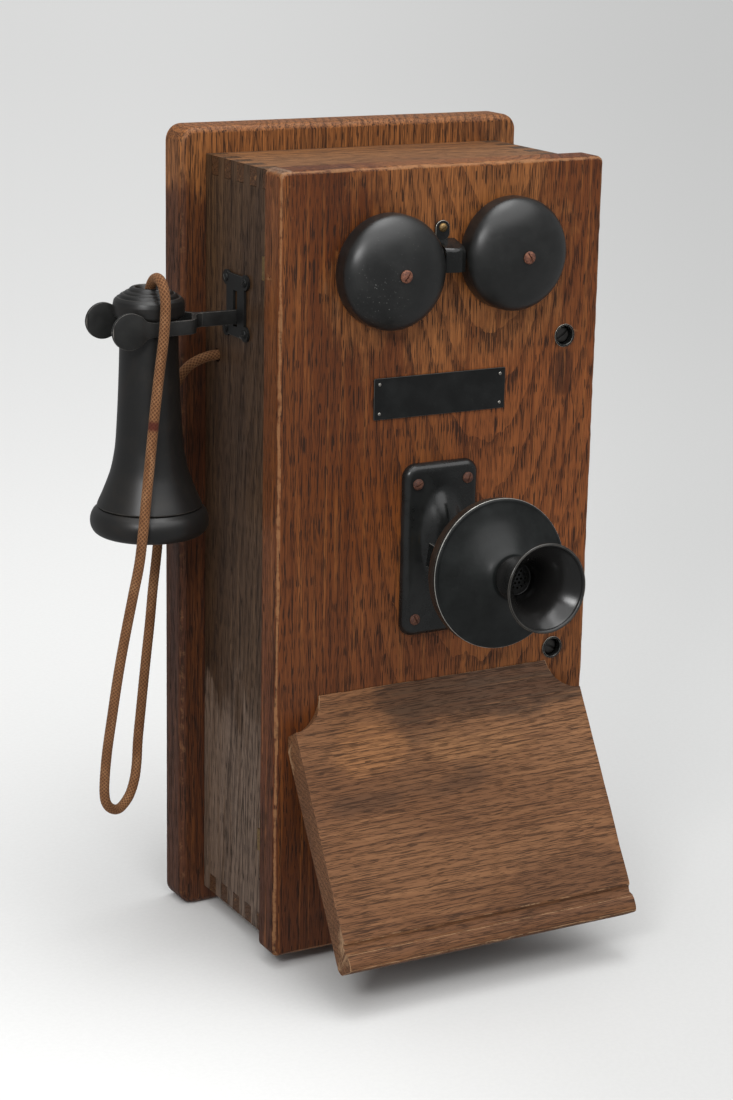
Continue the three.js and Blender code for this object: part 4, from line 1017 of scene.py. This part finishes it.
def carried_nodes():
    """CAD nodes that keep their own shape: softened edges and a real finish."""
    soft = {
        "case_left_side": (OAK_SIDE, 0.5), "case_right_side": (OAK_SIDE, 0.5), "case_top": (OAK_END, 0.5),
        "case_bottom": (OAK_END, 0.5), "shelf_bracket_left": (IRON, 0.6), "shelf_bracket_right": (IRON, 0.6),
        "hookswitch_frame": (BRASS, 0.25), "contact_spring_upper": (BRASS, 0.15),
        "contact_spring_lower": (BRASS, 0.15), "generator_frame": (BRASS, 0.3),
        "generator_magnet_1": (MAGNET, 0.8),
        "generator_magnet_2": (MAGNET, 0.8), "drive_gear": (BRASS, 0.12), "armature": (STEEL, 0.2),
        "crank_shaft": (STEEL, 0.3), "crank_arm": (IRON, 0.7), "crank_bushing": (IRON, 0.2),
        "ringer_frame": (STEEL, 0.4), "clapper": (DARK_BRASS, 0.2), "gong_post_left": (STEEL, 0.3),
        "gong_post_right": (STEEL, 0.3), "receiver_diaphragm": (STEEL, 0.1), "receiver_magnet": (MAGNET, 0.4),
        "carbon_button": (BRASS, 0.2), "terminal_block": (MAPLE, 0.4),
    }
    for place in ("upper", "lower"):
        for node in (f"hinge_case_leaf_{place}", f"hinge_door_leaf_{place}", f"hinge_pin_{place}"):
            soft[node] = (DARK_BRASS, 0.2)
    for node, (material, edge) in soft.items():
        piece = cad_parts[node]
        piece.data.materials.clear()
        piece.data.materials.append(material)
        bevelled(piece, edge * MM, 2, 35)
        shaded(piece, 35, weighted=True)


# ---------------------------------------------------------------- bells


def round_screw(name, point, axis, radius, height, slot_turn, body, material=RUST, slot_name="rusty_steel",
                nodes=(), shank=None):
    """A round-headed wood screw: the head's dome with its slot, seated at a point."""
    place = place_at(point, axis)
    r, h = radius / MM, height / MM
    dome = [(0, -shank[1]), (shank[0], -shank[1]),
            (shank[0], 0)] if shank else [(0, -0.8), (r * 0.98, -0.8), (r, -0.3)]
    dome += [(r, 0), (r, 0.12 * h)] if shank else [(r, 0.12 * h)]
    dome += [(r * math.cos(a), 0.12 * h + 0.88 * h * math.sin(a))
             for a in (math.pi / 2 * k / 9 for k in range(1, 9))]
    dome.append((0, h))
    head = turned(name, dome, place, 40)
    slot = cutter_box((-1.2 * radius, -0.13 * radius, 0.45 * height),
                      (1.2 * radius, 0.13 * radius, 2 * height))
    slot.data.transform(place @ Matrix.Rotation(slot_turn, 4, "Z"))
    combine(head, [slot], "DIFFERENCE")
    return dressed(head, 0.5, 35, body, material, slot_name, nodes)


GONG_SCREW_R, GONG_SCREW_H = 4.2 * MM, 2.5 * MM


def gong(side, material, slot_turn):
    low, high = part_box(f"gong_{side}")
    centre = (low + high) / 2
    radius, depth = (high.x - low.x) / 2 / MM, (high.y - low.y) / MM
    skirt, wall = 9.0, 1.6
    outer = [(radius, 0.0), (radius, 0.6 * skirt)]
    outer += [(radius * math.cos(a), skirt + (depth - skirt) * math.sin(a))
              for a in (math.radians(90) * k / 22 for k in range(1, 22))]
    crown = [(3.0, depth), (3.0, depth - wall)]
    inner = [((radius - wall) * math.cos(a), skirt + (depth - skirt - wall) * math.sin(a))
             for a in (math.radians(90) * k / 12 for k in range(11, -1, -1))]
    inner.append((radius - wall, 0.0))
    profile = filleted(outer + crown + inner, 0.35, 3, closed=True)
    place = place_at(Vector((centre.x, high.y, centre.z)), (0, -1, 0))
    bell = turned(f"gong_{side}_bell", profile, place, 128, ring=True)
    dressed(bell, 0.6, 40, "door", material, "black_japan", [f"gong_{side}"])
    screw_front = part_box(f"gong_screw_{side}")[0].y
    seat = Vector((centre.x, screw_front + GONG_SCREW_H, centre.z))
    round_screw(f"gong_{side}_screw_head", seat, (0, -1, 0), GONG_SCREW_R, GONG_SCREW_H, slot_turn, "door",
                nodes=[f"gong_screw_{side}"], shank=(2.4, 1.9))


HOOD_LEFT, HOOD_RIGHT, HOOD_TOP, HOOD_FRONT_TOP = -8.6, 5.8, 214.4, 209.8
LUG_RIGHT, GUARD_SHEET = 1.4, 1.5


def clapper_guard():
    """One bent sheet: a lug with a round-headed screw, a shelf sloping forward, and a bowed hood in front."""
    low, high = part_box("clapper_guard")
    back, front = high.y / MM, low.y / MM
    centre, half = (HOOD_LEFT + HOOD_RIGHT) / 2, (HOOD_RIGHT - HOOD_LEFT) / 2
    outer_bend, inner_bend, bow, count = 3.4, 2.0, 2.4, 28
    rings = []
    for k in range(count + 1):
        x = HOOD_LEFT + (HOOD_RIGHT - HOOD_LEFT) * k / count
        face = front + bow * ((x - centre) / half) ** 2
        outside = filleted([(back, HOOD_TOP), (face, HOOD_FRONT_TOP), (face, low.z / MM)], outer_bend, 6)
        inside = filleted([(back, HOOD_TOP - GUARD_SHEET), (face + GUARD_SHEET, HOOD_FRONT_TOP - GUARD_SHEET),
                           (face + GUARD_SHEET, low.z / MM)], inner_bend, 6)
        rings.append([Vector((x, q.x, q.y)) * MM for q in [*outside, *inside[::-1]]])
    hood = loft("clapper_guard_hood", rings)
    dressed(hood, 0.7, 40, "door", JAPAN_GUARD, "black_japan", ["clapper_guard"])
    lug_low = Vector((low.x, high.y - GUARD_SHEET * MM, (HOOD_TOP - 1.2) * MM))
    lug_high = Vector((LUG_RIGHT * MM, high.y, high.z))
    lug = slab("clapper_guard_lug", lug_low, lug_high, 4.9 * MM, 0.4 * MM, 0.2 * MM, 2 * MM)
    dressed(lug, 0.7, 40, "door", JAPAN_GUARD, "black_japan", weighted=True)
    seat = Vector(((low.x + LUG_RIGHT * MM) / 2, lug_low.y, high.z - 4.6 * MM))
    round_screw("clapper_guard_screw", seat, (0, -1, 0), 2.9 * MM, 2.2 * MM, 0.5, "door", DARK_BRASS, "brass")


# ---------------------------------------------------------------- nameplate and latches


def nameplate():
    low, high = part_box("nameplate")
    plate = slab("nameplate_blank", low, high, 0.9 * MM, 0.3 * MM, 0.1 * MM, 4 * MM)
    dressed(plate, 0.5, 40, "door", NAMEPLATE, "black_japan", ["nameplate"], weighted=True)
    inset = 4.0 * MM
    for i, (x, z) in enumerate([(low.x + inset, low.z + inset), (high.x - inset, low.z + inset),
                                (low.x + inset, high.z - inset), (high.x - inset, high.z - inset)]):
        round_screw(f"nameplate_pin_{i + 1}", Vector((x, low.y, z)), (0, -1, 0), 1.1 * MM, 0.6 * MM, 0.4 * i,
                    "door",
                    NICKEL, "steel")


def latch(place_name, slot_turn):
    """A slotted turn screw at the bottom of a sunk black ferrule."""
    at = middle(f"latch_cup_{place_name}")
    front = DOOR_FACE
    place = place_at(Vector((at.x, front, at.z)), (0, -1, 0))
    cup = filleted([(2.8, -8.0), (7.2, -8.0), (7.2, 0.1), (7.8, 0.3), (7.8, 0.9), (6.6, 1.0), (6.1, 0.2),
                    (6.1, -6.6), (2.8, -6.6)], 0.4, 4, True)
    ferrule = turned(f"latch_ferrule_{place_name}", cup, place, 64, ring=True)
    dressed(ferrule, 0.5, 40, "door", JAPAN_GUARD, "black_japan", [f"latch_cup_{place_name}"])
    head = [(0, -5.8), (5.0, -5.8), (5.3, -5.2), (5.3, -3.0)]
    head += [(5.3 * math.cos(a), -3.0 + 0.9 * math.sin(a))
             for a in (math.pi / 2 * k / 6 for k in range(1, 6))]
    head.append((0, -2.1))
    screw = turned(f"latch_head_{place_name}", head, place, 48)
    slot = cutter_box((-7 * MM, -0.8 * MM, -3.8 * MM), (7 * MM, 0.8 * MM, 0))
    slot.data.transform(place @ Matrix.Rotation(slot_turn, 4, "Z"))
    combine(screw, [slot], "DIFFERENCE")
    bevelled(screw, 0.15 * MM, 2, 50)
    applied(screw)
    edge_attribute(screw, 0.4 * MM)
    shaded(screw, 40)
    body = f"latch_{place_name}"
    finish_piece(screw, body, BLACK_STEEL, "steel", [f"latch_screw_{place_name}"])
    tongue_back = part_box(f"latch_screw_{place_name}")[1].y
    shank = turned(f"latch_shank_{place_name}",
                   filleted([(0, 0), (2.4, 0), (2.4, (tongue_back - front) / MM - 5.5),
                             (0, (tongue_back - front) / MM - 5.5)], 0.2, 2),
                   place_at(Vector((at.x, front + 5.5 * MM, at.z)), (0, 1, 0)), 32)
    shaded(shank, 40)
    finish_piece(shank, body, BLACK_STEEL, "steel")
    tongue_low = Vector((at.x - 4 * MM, tongue_back - 3.2 * MM, at.z - 4 * MM))
    tongue_high = Vector((at.x + 4 * MM, tongue_back, at.z + 9.6 * MM))
    tongue = slab(f"latch_tongue_{place_name}", tongue_low, tongue_high, 3.9 * MM, 0.4 * MM, 0.4 * MM, 2 * MM)
    dressed(tongue, 0.5, 40, body, BLACK_STEEL, "steel", weighted=True)


# ---------------------------------------------------------------- transmitter

TRANSMITTER_TILT = math.radians(4.8)
REACH, RIM_R, HORN, MOUTH_R = 51.0, 48.9, 58.3, 28.6


def transmitter_plate():
    """A pressed plate with pillow edges and a raised boss, and the two ears of the pivot."""
    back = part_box("transmitter_plate")[1].y
    pivot = middle("transmitter_pivot_screw")
    centre_x = middle("mouthpiece").x
    half_w, z_low, z_high = 28 * MM, pivot.z - 57 * MM, pivot.z + 61 * MM
    centre_z = (z_low + z_high) / 2
    thick, rolled = 6 * MM, 5 * MM
    levels = [(0.0, 0.0), (0.0, 0.8 * MM)]
    levels += [(rolled * (1 - math.cos(a)), 0.8 * MM + (thick - 0.8 * MM) * math.sin(a))
               for a in (math.pi / 2 * k / 8 for k in range(1, 9))]
    levels += [(rolled + (half_w - rolled - 0.4 * MM) * k / 16, thick) for k in range(1, 17)]
    rings = []
    boss = Vector((centre_x, pivot.z + 12 * MM))
    for inset, height in levels:
        ring = []
        for p in rounded_outline(2 * half_w, z_high - z_low, 9 * MM, inset, 3 * MM):
            spot = Vector((p.x + centre_x, p.y + centre_z))
            away = Vector(((spot.x - boss.x) / (17 * MM), (spot.y - boss.y) / (33 * MM))).length
            rise = 0.0 if away >= 1 else (1 - away ** 2.6) ** 1.6
            share = min(1.0, inset / rolled)
            ring.append(Vector((spot.x, back - height - 9.5 * MM * rise * share, spot.y)))
        rings.append(ring)
    plate = loft("transmitter_plate_pressed", rings)
    dressed(plate, 2.5, 50, "door", JAPAN_PLATE, "black_japan", ["transmitter_plate"])
    for side, x0, x1 in (("left", -12.0, -8.3), ("right", 8.3, 12.0)):
        outline = [Vector((pivot.y + 7 * MM * math.cos(a), pivot.z + 7 * MM * math.sin(a)))
                   for a in (math.pi / 2 + math.pi * k / 16 for k in range(17))]
        outline += [Vector((back - 4 * MM, pivot.z - 9 * MM)), Vector((back - 4 * MM, pivot.z + 9 * MM))]
        rings = [[Vector((centre_x + x * MM, p.x, p.y)) for p in outline] for x in (x0, x1)]
        ear = loft(f"transmitter_ear_{side}", rings)
        bevelled(ear, 0.5 * MM, 3, 50)
        applied(ear)
        dressed(ear, 0.8, 40, "door", JAPAN_PLATE, "black_japan", weighted=True)
    front = back - thick
    spots = [(-19, z_high / MM - 13, 0.4), (19, z_high / MM - 12, 1.2), (-19, z_low / MM + 12, 2.0),
             (19, z_low / MM + 12, 0.1)]
    for i, (dx, z, turn) in enumerate(spots):
        seat = Vector((centre_x + dx * MM, front, z * MM))
        round_screw(f"transmitter_plate_screw_{i + 1}", seat, (0, -1, 0), 3.8 * MM, 2.2 * MM, turn, "door",
                    PLATE_RUST)
    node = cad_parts["transmitter_pivot_screw"]
    node.data.materials.clear()
    node.data.materials.append(BRASS)
    bevelled(node, 0.4 * MM, 2, 35)
    shaded(node, 35, weighted=True)


def transmitter():
    pivot = middle("transmitter_pivot_screw")
    centre_x = middle("mouthpiece").x
    place = Matrix.Translation((centre_x, pivot.y,
                                pivot.z)) @ Matrix.Rotation(math.pi / 2 - TRANSMITTER_TILT, 4, "X")
    back = REACH - 34
    outer = [(4, back)] + [tuple(p) for p in through([(20, back + 1), (32, back + 8), (39, back + 14),
                                                      (45, back + 22), (48.3, back + 28)], 5)]
    cup_line = outer + [(48.3, REACH - 0.5), (46.5, REACH - 0.5)]
    cup_line += [tuple(p) for p in through([(43, back + 24), (37.5, back + 16), (30, back + 9),
                                            (19, back + 3.5)], 5)] + [(4, back + 3)]
    cup = turned("transmitter_cup_shell", filleted(cup_line, 0.5, 3, True), place, 128, ring=True)
    dressed(cup, 1.0, 40, "transmitter", CUP_FINISH, "black_japan", ["transmitter_cup"])
    lug = cutter_box((-8 * MM, -6 * MM, 0), (8 * MM, 6 * MM, (back + 2) * MM))
    lug.data.transform(place)
    eye = cutter_rod(Vector((centre_x - 8 * MM, pivot.y, pivot.z)),
                     Vector((centre_x + 8 * MM, pivot.y, pivot.z)), 6 * MM)
    bore = cutter_rod(Vector((centre_x - 9 * MM, pivot.y, pivot.z)),
                      Vector((centre_x + 9 * MM, pivot.y, pivot.z)), 2.6 * MM)
    lug.name = "transmitter_lug"
    combine(lug, [eye], "UNION")
    combine(lug, [bore], "DIFFERENCE")
    bevelled(lug, 0.6 * MM, 3, 50)
    applied(lug)
    dressed(lug, 0.8, 40, "transmitter", CUP_FINISH, "black_japan", weighted=True)

    rise = through([(44, REACH + 3.4), (36, REACH + 5.6), (29, REACH + 8.6), (23, REACH + 12.0),
                    (19, REACH + 14.6), (16.4, REACH + 16.6)], 5)
    face_line = [(8.2, REACH + 15), (8.2, REACH + 17.5), (15, REACH + 17.5)] + [tuple(p) for p in rise[::-1]]
    face_line += [(46.2, REACH + 2.9), (47.4, REACH + 3.0), (RIM_R, REACH + 2.2), (RIM_R, REACH - 0.1),
                  (46, REACH - 0.1), (43, REACH + 1.6), (18, REACH + 11.5), (15, REACH + 15)]
    face = turned("transmitter_face_spun", filleted(face_line, 0.6, 4, True), place, 160, ring=True)
    dressed(face, 0.9, 40, "transmitter", JAPAN_FACE, "black_japan", ["transmitter_face"])

    lip, neck = REACH + HORN, REACH + 17.8
    outside = through([(13.5, neck + 1.2), (14.6, neck + 4), (14.0, neck + 9), (14.2, neck + 13),
                       (16.6, neck + 21.5), (21, neck + 30), (MOUTH_R, lip - 1.6)], 6)
    inside = through([(MOUTH_R - 2.3, lip - 1.6), (18.6, neck + 30), (14.2, neck + 21.5), (11.6, neck + 13),
                      (11, neck + 4.5), (9, neck + 3.6)], 6)
    horn_line = [(6.2, REACH + 11), (7.8, REACH + 11), (7.8, neck),
                 (13.5, neck)] + [tuple(p) for p in outside]
    horn_line += [(MOUTH_R + 0.1, lip - 0.6), (MOUTH_R - 0.9, lip), (MOUTH_R - 2.0, lip - 0.7)]
    horn_line += [tuple(p) for p in inside] + [(6.2, neck + 3.4)]
    horn = turned("mouthpiece_horn", filleted(horn_line, 0.5, 3, True), place, 128, ring=True)
    dressed(horn, 0.9, 40, "transmitter", MOUTH_RUBBER, "hard_rubber", ["mouthpiece"])

    grid_h = neck + 3.6
    grid = turned("mouthpiece_grid", filleted([(0, grid_h), (9.4, grid_h), (9.4, grid_h + 1.2),
                                               (0, grid_h + 1.2)], 0.2, 2), place, 64)
    holes = []
    for ring_r, count in ((0.0, 1), (2.9, 6), (5.8, 12)):
        for k in range(count):
            a = 2 * math.pi * k / count
            base = Vector((ring_r * math.cos(a), ring_r * math.sin(a), grid_h - 1)) * MM
            holes.append(cutter_rod(place @ base, place @ (base + Vector((0, 0, 4 * MM))), 0.85 * MM, 16))
    combine(grid, holes, "DIFFERENCE")
    dressed(grid, 0.4, 40, "transmitter", MOUTH_RUBBER, "hard_rubber")


# ---------------------------------------------------------------- hook and receiver


def hook_plate():
    low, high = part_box("hook_plate")
    y, z = (low.y + high.y) / 2, (low.z + high.z) / 2

    def disc(dy, dz, r):
        return cutter_rod((low.x, y + dy, z + dz), (high.x, y + dy, z + dz), r, 40)

    shape = bmesh.new()
    bmesh.ops.create_cube(shape, size=1)
    half_y, half_z = 13 * MM, 20.5 * MM
    for v in shape.verts:
        v.co = Vector((low.x + (v.co.x + 0.5) * (high.x - low.x), y + 2 * half_y * v.co.y,
                       z + 2 * half_z * v.co.z))
    plate = from_bmesh("hook_plate_iron", shape)
    ears = [(dy * 13.5 * MM, dz * 17 * MM) for dy in (-1, 1) for dz in (-1, 1)]
    combine(plate, [disc(dy, dz, 5 * MM) for dy, dz in ears], "UNION")
    combine(plate, [cutter_box((low.x - 2 * MM, y - 3 * MM, 151.5 * MM),
                               (high.x + 2 * MM, y + 3 * MM, 175.5 * MM))],
            "DIFFERENCE")
    bevelled(plate, 0.35 * MM, 2, 40)
    applied(plate)
    dressed(plate, 0.6, 35, "case", PLATE_IRON, "black_japan", ["hook_plate"], weighted=True)
    for i, (dy, dz) in enumerate(ears):
        round_screw(f"hook_plate_screw_{i + 1}", Vector((low.x, y + dy, z + dz)), (-1, 0, 0), 3.0 * MM,
                    1.6 * MM, 0.7 * i, "case", PLATE_IRON, "black_japan")


HOOK_BAR_H, HOOK_PRONG, HOOK_STRIP, HOOK_PAD = 9.5, 20.3, 2.7, 12.0
HOOK_PIVOT_X, HOOK_EYE_R, HOOK_EYE_HALF, HOOK_BORE_R = -58, 6, 2.6, 2.3


def flat_strip(name, stations):
    """A strip on edge along a line in XY: (x, y, half height, thickness) in millimetres, with eased edges."""
    rings = []
    z = middle("hook_lever").z / MM
    for i, (x, y, half, thick) in enumerate(stations):
        x0, y0 = stations[max(i - 1, 0)][:2]
        x1, y1 = stations[min(i + 1, len(stations) - 1)][:2]
        along = Vector((x1 - x0, y1 - y0)).normalized()
        out = Vector((-along.y, along.x))
        ease = min(0.55, 0.4 * thick, 0.4 * half)
        ring = []
        for su, sv in ((1, 1), (-1, 1), (-1, -1), (1, -1)):
            order = (0, 1, 2) if su * sv > 0 else (2, 1, 0)
            for k in order:
                a = math.pi / 2 * k / 2
                u = su * (thick / 2 - ease + ease * math.cos(a))
                v = sv * (half - ease + ease * math.sin(a))
                ring.append(Vector((x + out.x * u, y + out.y * u, z + v)) * MM)
        rings.append(ring)
    return loft(name, rings)


def hook_lever():
    """A bar on edge that splits into a fork; each prong swells into a round pad."""
    low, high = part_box("hook_lever")
    y = (low.y + high.y) / 2 / MM
    pad_x = low.x / MM + HOOK_PAD
    half = HOOK_BAR_H / 2
    bar = flat_strip("hook_lever_iron", [(x, y, half, 3.2)
                                         for x in (high.x / MM, -60, -90, -120, -141, -146)])

    def prong(side):
        offset = side * (HOOK_PRONG + HOOK_STRIP / 2)
        bend = through([(-139, y + side * 0.3), (-143, y + side * 1.8), (-147.5, y + 0.35 * offset),
                        (-151.5, y + 0.78 * offset), (-155.5, y + 0.97 * offset), (-160, y + offset)], 4)
        stations = [(p.x, p.y, half, HOOK_STRIP) for p in bend]
        count = 46
        start, stop = -161.0, pad_x - HOOK_PAD + 0.02
        for k in range(count + 1):
            x = start + (stop - start) * math.sin(math.pi / 2 * k / count)
            d = x - pad_x
            pad = math.sqrt(max(HOOK_PAD ** 2 - d * d, 0.0)) if abs(d) < HOOK_PAD else 0.0
            if d > 0:
                swell = max(half, pad)
                near = max(0.0, 1 - abs(x - (pad_x + 10.9)) / 7.0)
                swell += 1.5 * near * near
            else:
                swell = max(pad, 0.5)
            stations.append((x, y + offset, swell, HOOK_STRIP))
        return flat_strip("prong", stations)

    level = middle("hook_lever").z

    def across(reach):
        return [Vector((HOOK_PIVOT_X * MM, (y + side * reach) * MM, level)) for side in (-1, 1)]

    eye = cutter_rod(*across(HOOK_EYE_HALF), HOOK_EYE_R * MM)
    combine(bar, [prong(-1), prong(1), eye], "UNION")
    bore = cutter_rod(*across(4), HOOK_BORE_R * MM)
    combine(bar, [bore], "DIFFERENCE")
    dressed(bar, 0.8, 38, "hook_lever", IRON, "black_japan", ["hook_lever"])


def receiver():
    centre = middle("receiver_shell")
    place = Matrix.Translation((centre.x, centre.y, 0))
    flare = through([(34.6, 38.2), (33.2, 41.5), (31.0, 46.5), (28.2, 53.5), (25.6, 61.0), (23.6, 70.0),
                     (22.2, 80.0), (20.9, 100.0), (19.9, 122.0), (19.2, 145.0), (19.0, 161.5)], 5)
    outer = [(30.5, 37.3), (34.2, 37.3)] + [tuple(p) for p in flare]
    head = [(19.0, 162.9), (22.2, 163.1), (23.2, 165.0), (23.3, 171.0), (22.6, 174.0), (20.6, 175.9),
            (19.4, 175.5),
            (18.6, 177.4), (16.9, 178.3), (16.2, 177.9), (15.6, 179.2), (13.9, 180.0), (13.3, 179.7),
            (12.6, 181.2), (11.2, 182.2), (9.2, 182.2), (6.6, 178.0), (6.4, 168.0)]
    bore = [(16.0, 164.0), (17.2, 100.0), (19.0, 80.0), (22.4, 62.0), (30.5, 39.0)]
    shell = turned("receiver_shell_turned", filleted(outer + head + bore, 0.45, 3, True), place, 112,
                   ring=True)
    dressed(shell, 0.8, 40, "receiver", RUBBER, "hard_rubber", ["receiver_shell"])
    rim = through([(28, 18.8), (32.5, 18.6), (36.4, 20.4), (38.6, 23.8), (39.2, 27.5), (38.7, 31.0),
                   (37.2, 34.2), (35.0, 36.3)], 5)
    cap_line = [(6, 24.2), (14, 22.8)] + [tuple(p) for p in rim] + [(34.2, 37.0), (30.5, 37.0), (30.5, 31),
                                                                    (6, 28)]
    cap = turned("ear_cap_turned", filleted(cap_line, 0.5, 3, True), place, 112, ring=True)
    dressed(cap, 0.8, 40, "receiver", RUBBER, "hard_rubber", ["ear_cap"])


# ---------------------------------------------------------------- crank


def crank_knob():
    low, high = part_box("crank_knob")
    centre = (low + high) / 2
    line = through([(7.0, 0.6), (7.6, 2.4), (8.6, 6.5), (10.2, 12.5), (11.0, 18.5), (10.8, 22.5), (9.4, 26.0),
                    (7.0, 28.0)], 5)
    profile = [(3.2, 0.0), (6.6, 0.0)] + [tuple(p) for p in line] + [(5.6, 28.2), (3.2, 28.2)]
    place = place_at(Vector((low.x, centre.y, centre.z)), (1, 0, 0))
    knob = turned("crank_knob_turned", filleted(profile, 0.5, 3, True), place, 72, ring=True)
    dressed(knob, 1.0, 40, "crank_knob", OAK_KNOB, "oak", ["crank_knob"])


# ---------------------------------------------------------------- inside the case


WIRE_TURN, WIRE_BULGE = 0.9, 0.12


def coils():
    """Wound spools. Each row ends with its flange radius, cheek thickness and bare core, in millimetres."""
    spools = (("ringer_coil_left", (0, 1, 0), COIL_Y, "door", 13.5, 2.0, 2.5),
              ("ringer_coil_right", (0, 1, 0), COIL_Y, "door", 13.5, 2.0, 2.5),
              ("induction_coil", (1, 0, 0), COIL_X, "case", 15.0, 4.0, 0.0))
    for name, axis, material, body, flange, cheek, core in spools:
        low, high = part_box(name)
        long_axis = Vector(axis)
        length = (high - low).dot(long_axis) / MM
        start = (low + high) / 2 - long_axis * length / 2 * MM
        wound, tail = flange - cheek, length - core
        turns = int((length - 2 * cheek - 2.5) / WIRE_TURN)
        waist = [(wound + WIRE_BULGE * (k % 2), cheek + 0.02 + k * WIRE_TURN) for k in range(turns)]
        profile = [(0, 0), (flange, 0), (flange, cheek), *waist, (wound, tail - cheek)]
        profile += [(flange, tail - cheek), (flange, tail), (0, tail)]
        spool = turned(f"{name}_wound", filleted(profile, 0.2, 2), place_at(start, axis), 48)
        shaded(spool, 40)
        finish_piece(spool, body, material, "coil_wrap", [name])


def dry_cells():
    for side in ("left", "right"):
        low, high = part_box(f"dry_cell_{side}")
        centre = (low + high) / 2
        place = Matrix.Translation((centre.x, centre.y, low.z))
        wrap = [(0, 0), (31.2, 0), (32, 0.8), (32, 148.6), (31.2, 149.6), (29.8, 149.6), (29.6, 147.2),
                (0, 147.2)]
        card = turned(f"dry_cell_{side}_card", filleted(wrap, 0.4, 3), place, 80)
        shaded(card, 40)
        finish_piece(card, "case", CARD, "cell_card", [f"dry_cell_{side}"])
        seal = turned(f"dry_cell_{side}_pitch",
                      filleted([(0, 146.5), (29.4, 146.5), (29.4, 148.2), (26, 149.0), (0, 149.4)], 0.6, 3),
                      place, 64)
        shaded(seal, 40)
        finish_piece(seal, "case", PITCH, "cell_card")
        post = [(0, 149.0), (9, 149.0), (9, 152.4), (4.6, 153.2), (2.2, 153.2), (2.2, 155.0), (4.0, 155.2),
                (4.0, 157.0), (2.2, 157.4), (0, 157.8)]
        terminal = turned(f"dry_cell_{side}_terminal", filleted(post, 0.3, 2), place, 40)
        shaded(terminal, 40)
        finish_piece(terminal, "case", BRASS, "brass")


TERMINAL_POSTS, TERMINAL_Z = (-74, -57, -40, -23), -28


def terminal_screws():
    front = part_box("terminal_block")[0].y
    for i, x in enumerate(TERMINAL_POSTS):
        seat = Vector((x * MM, front, TERMINAL_Z * MM))
        round_screw(f"terminal_screw_{i + 1}", seat, (0, -1, 0), 3.6 * MM, 1.0 * MM, 0.3 + 0.8 * i, "case",
                    BRASS, "brass")


backboard()
door()
writing_shelf()
carried_nodes()
gong("left", JAPAN_GONG_LEFT, 0.9)
gong("right", JAPAN_GONG_RIGHT, 2.1)
clapper_guard()
nameplate()
latch("upper", 0.6)
latch("lower", -0.5)
transmitter_plate()
transmitter()
hook_plate()
hook_lever()
receiver()
crank_knob()
coils()
dry_cells()
terminal_screws()
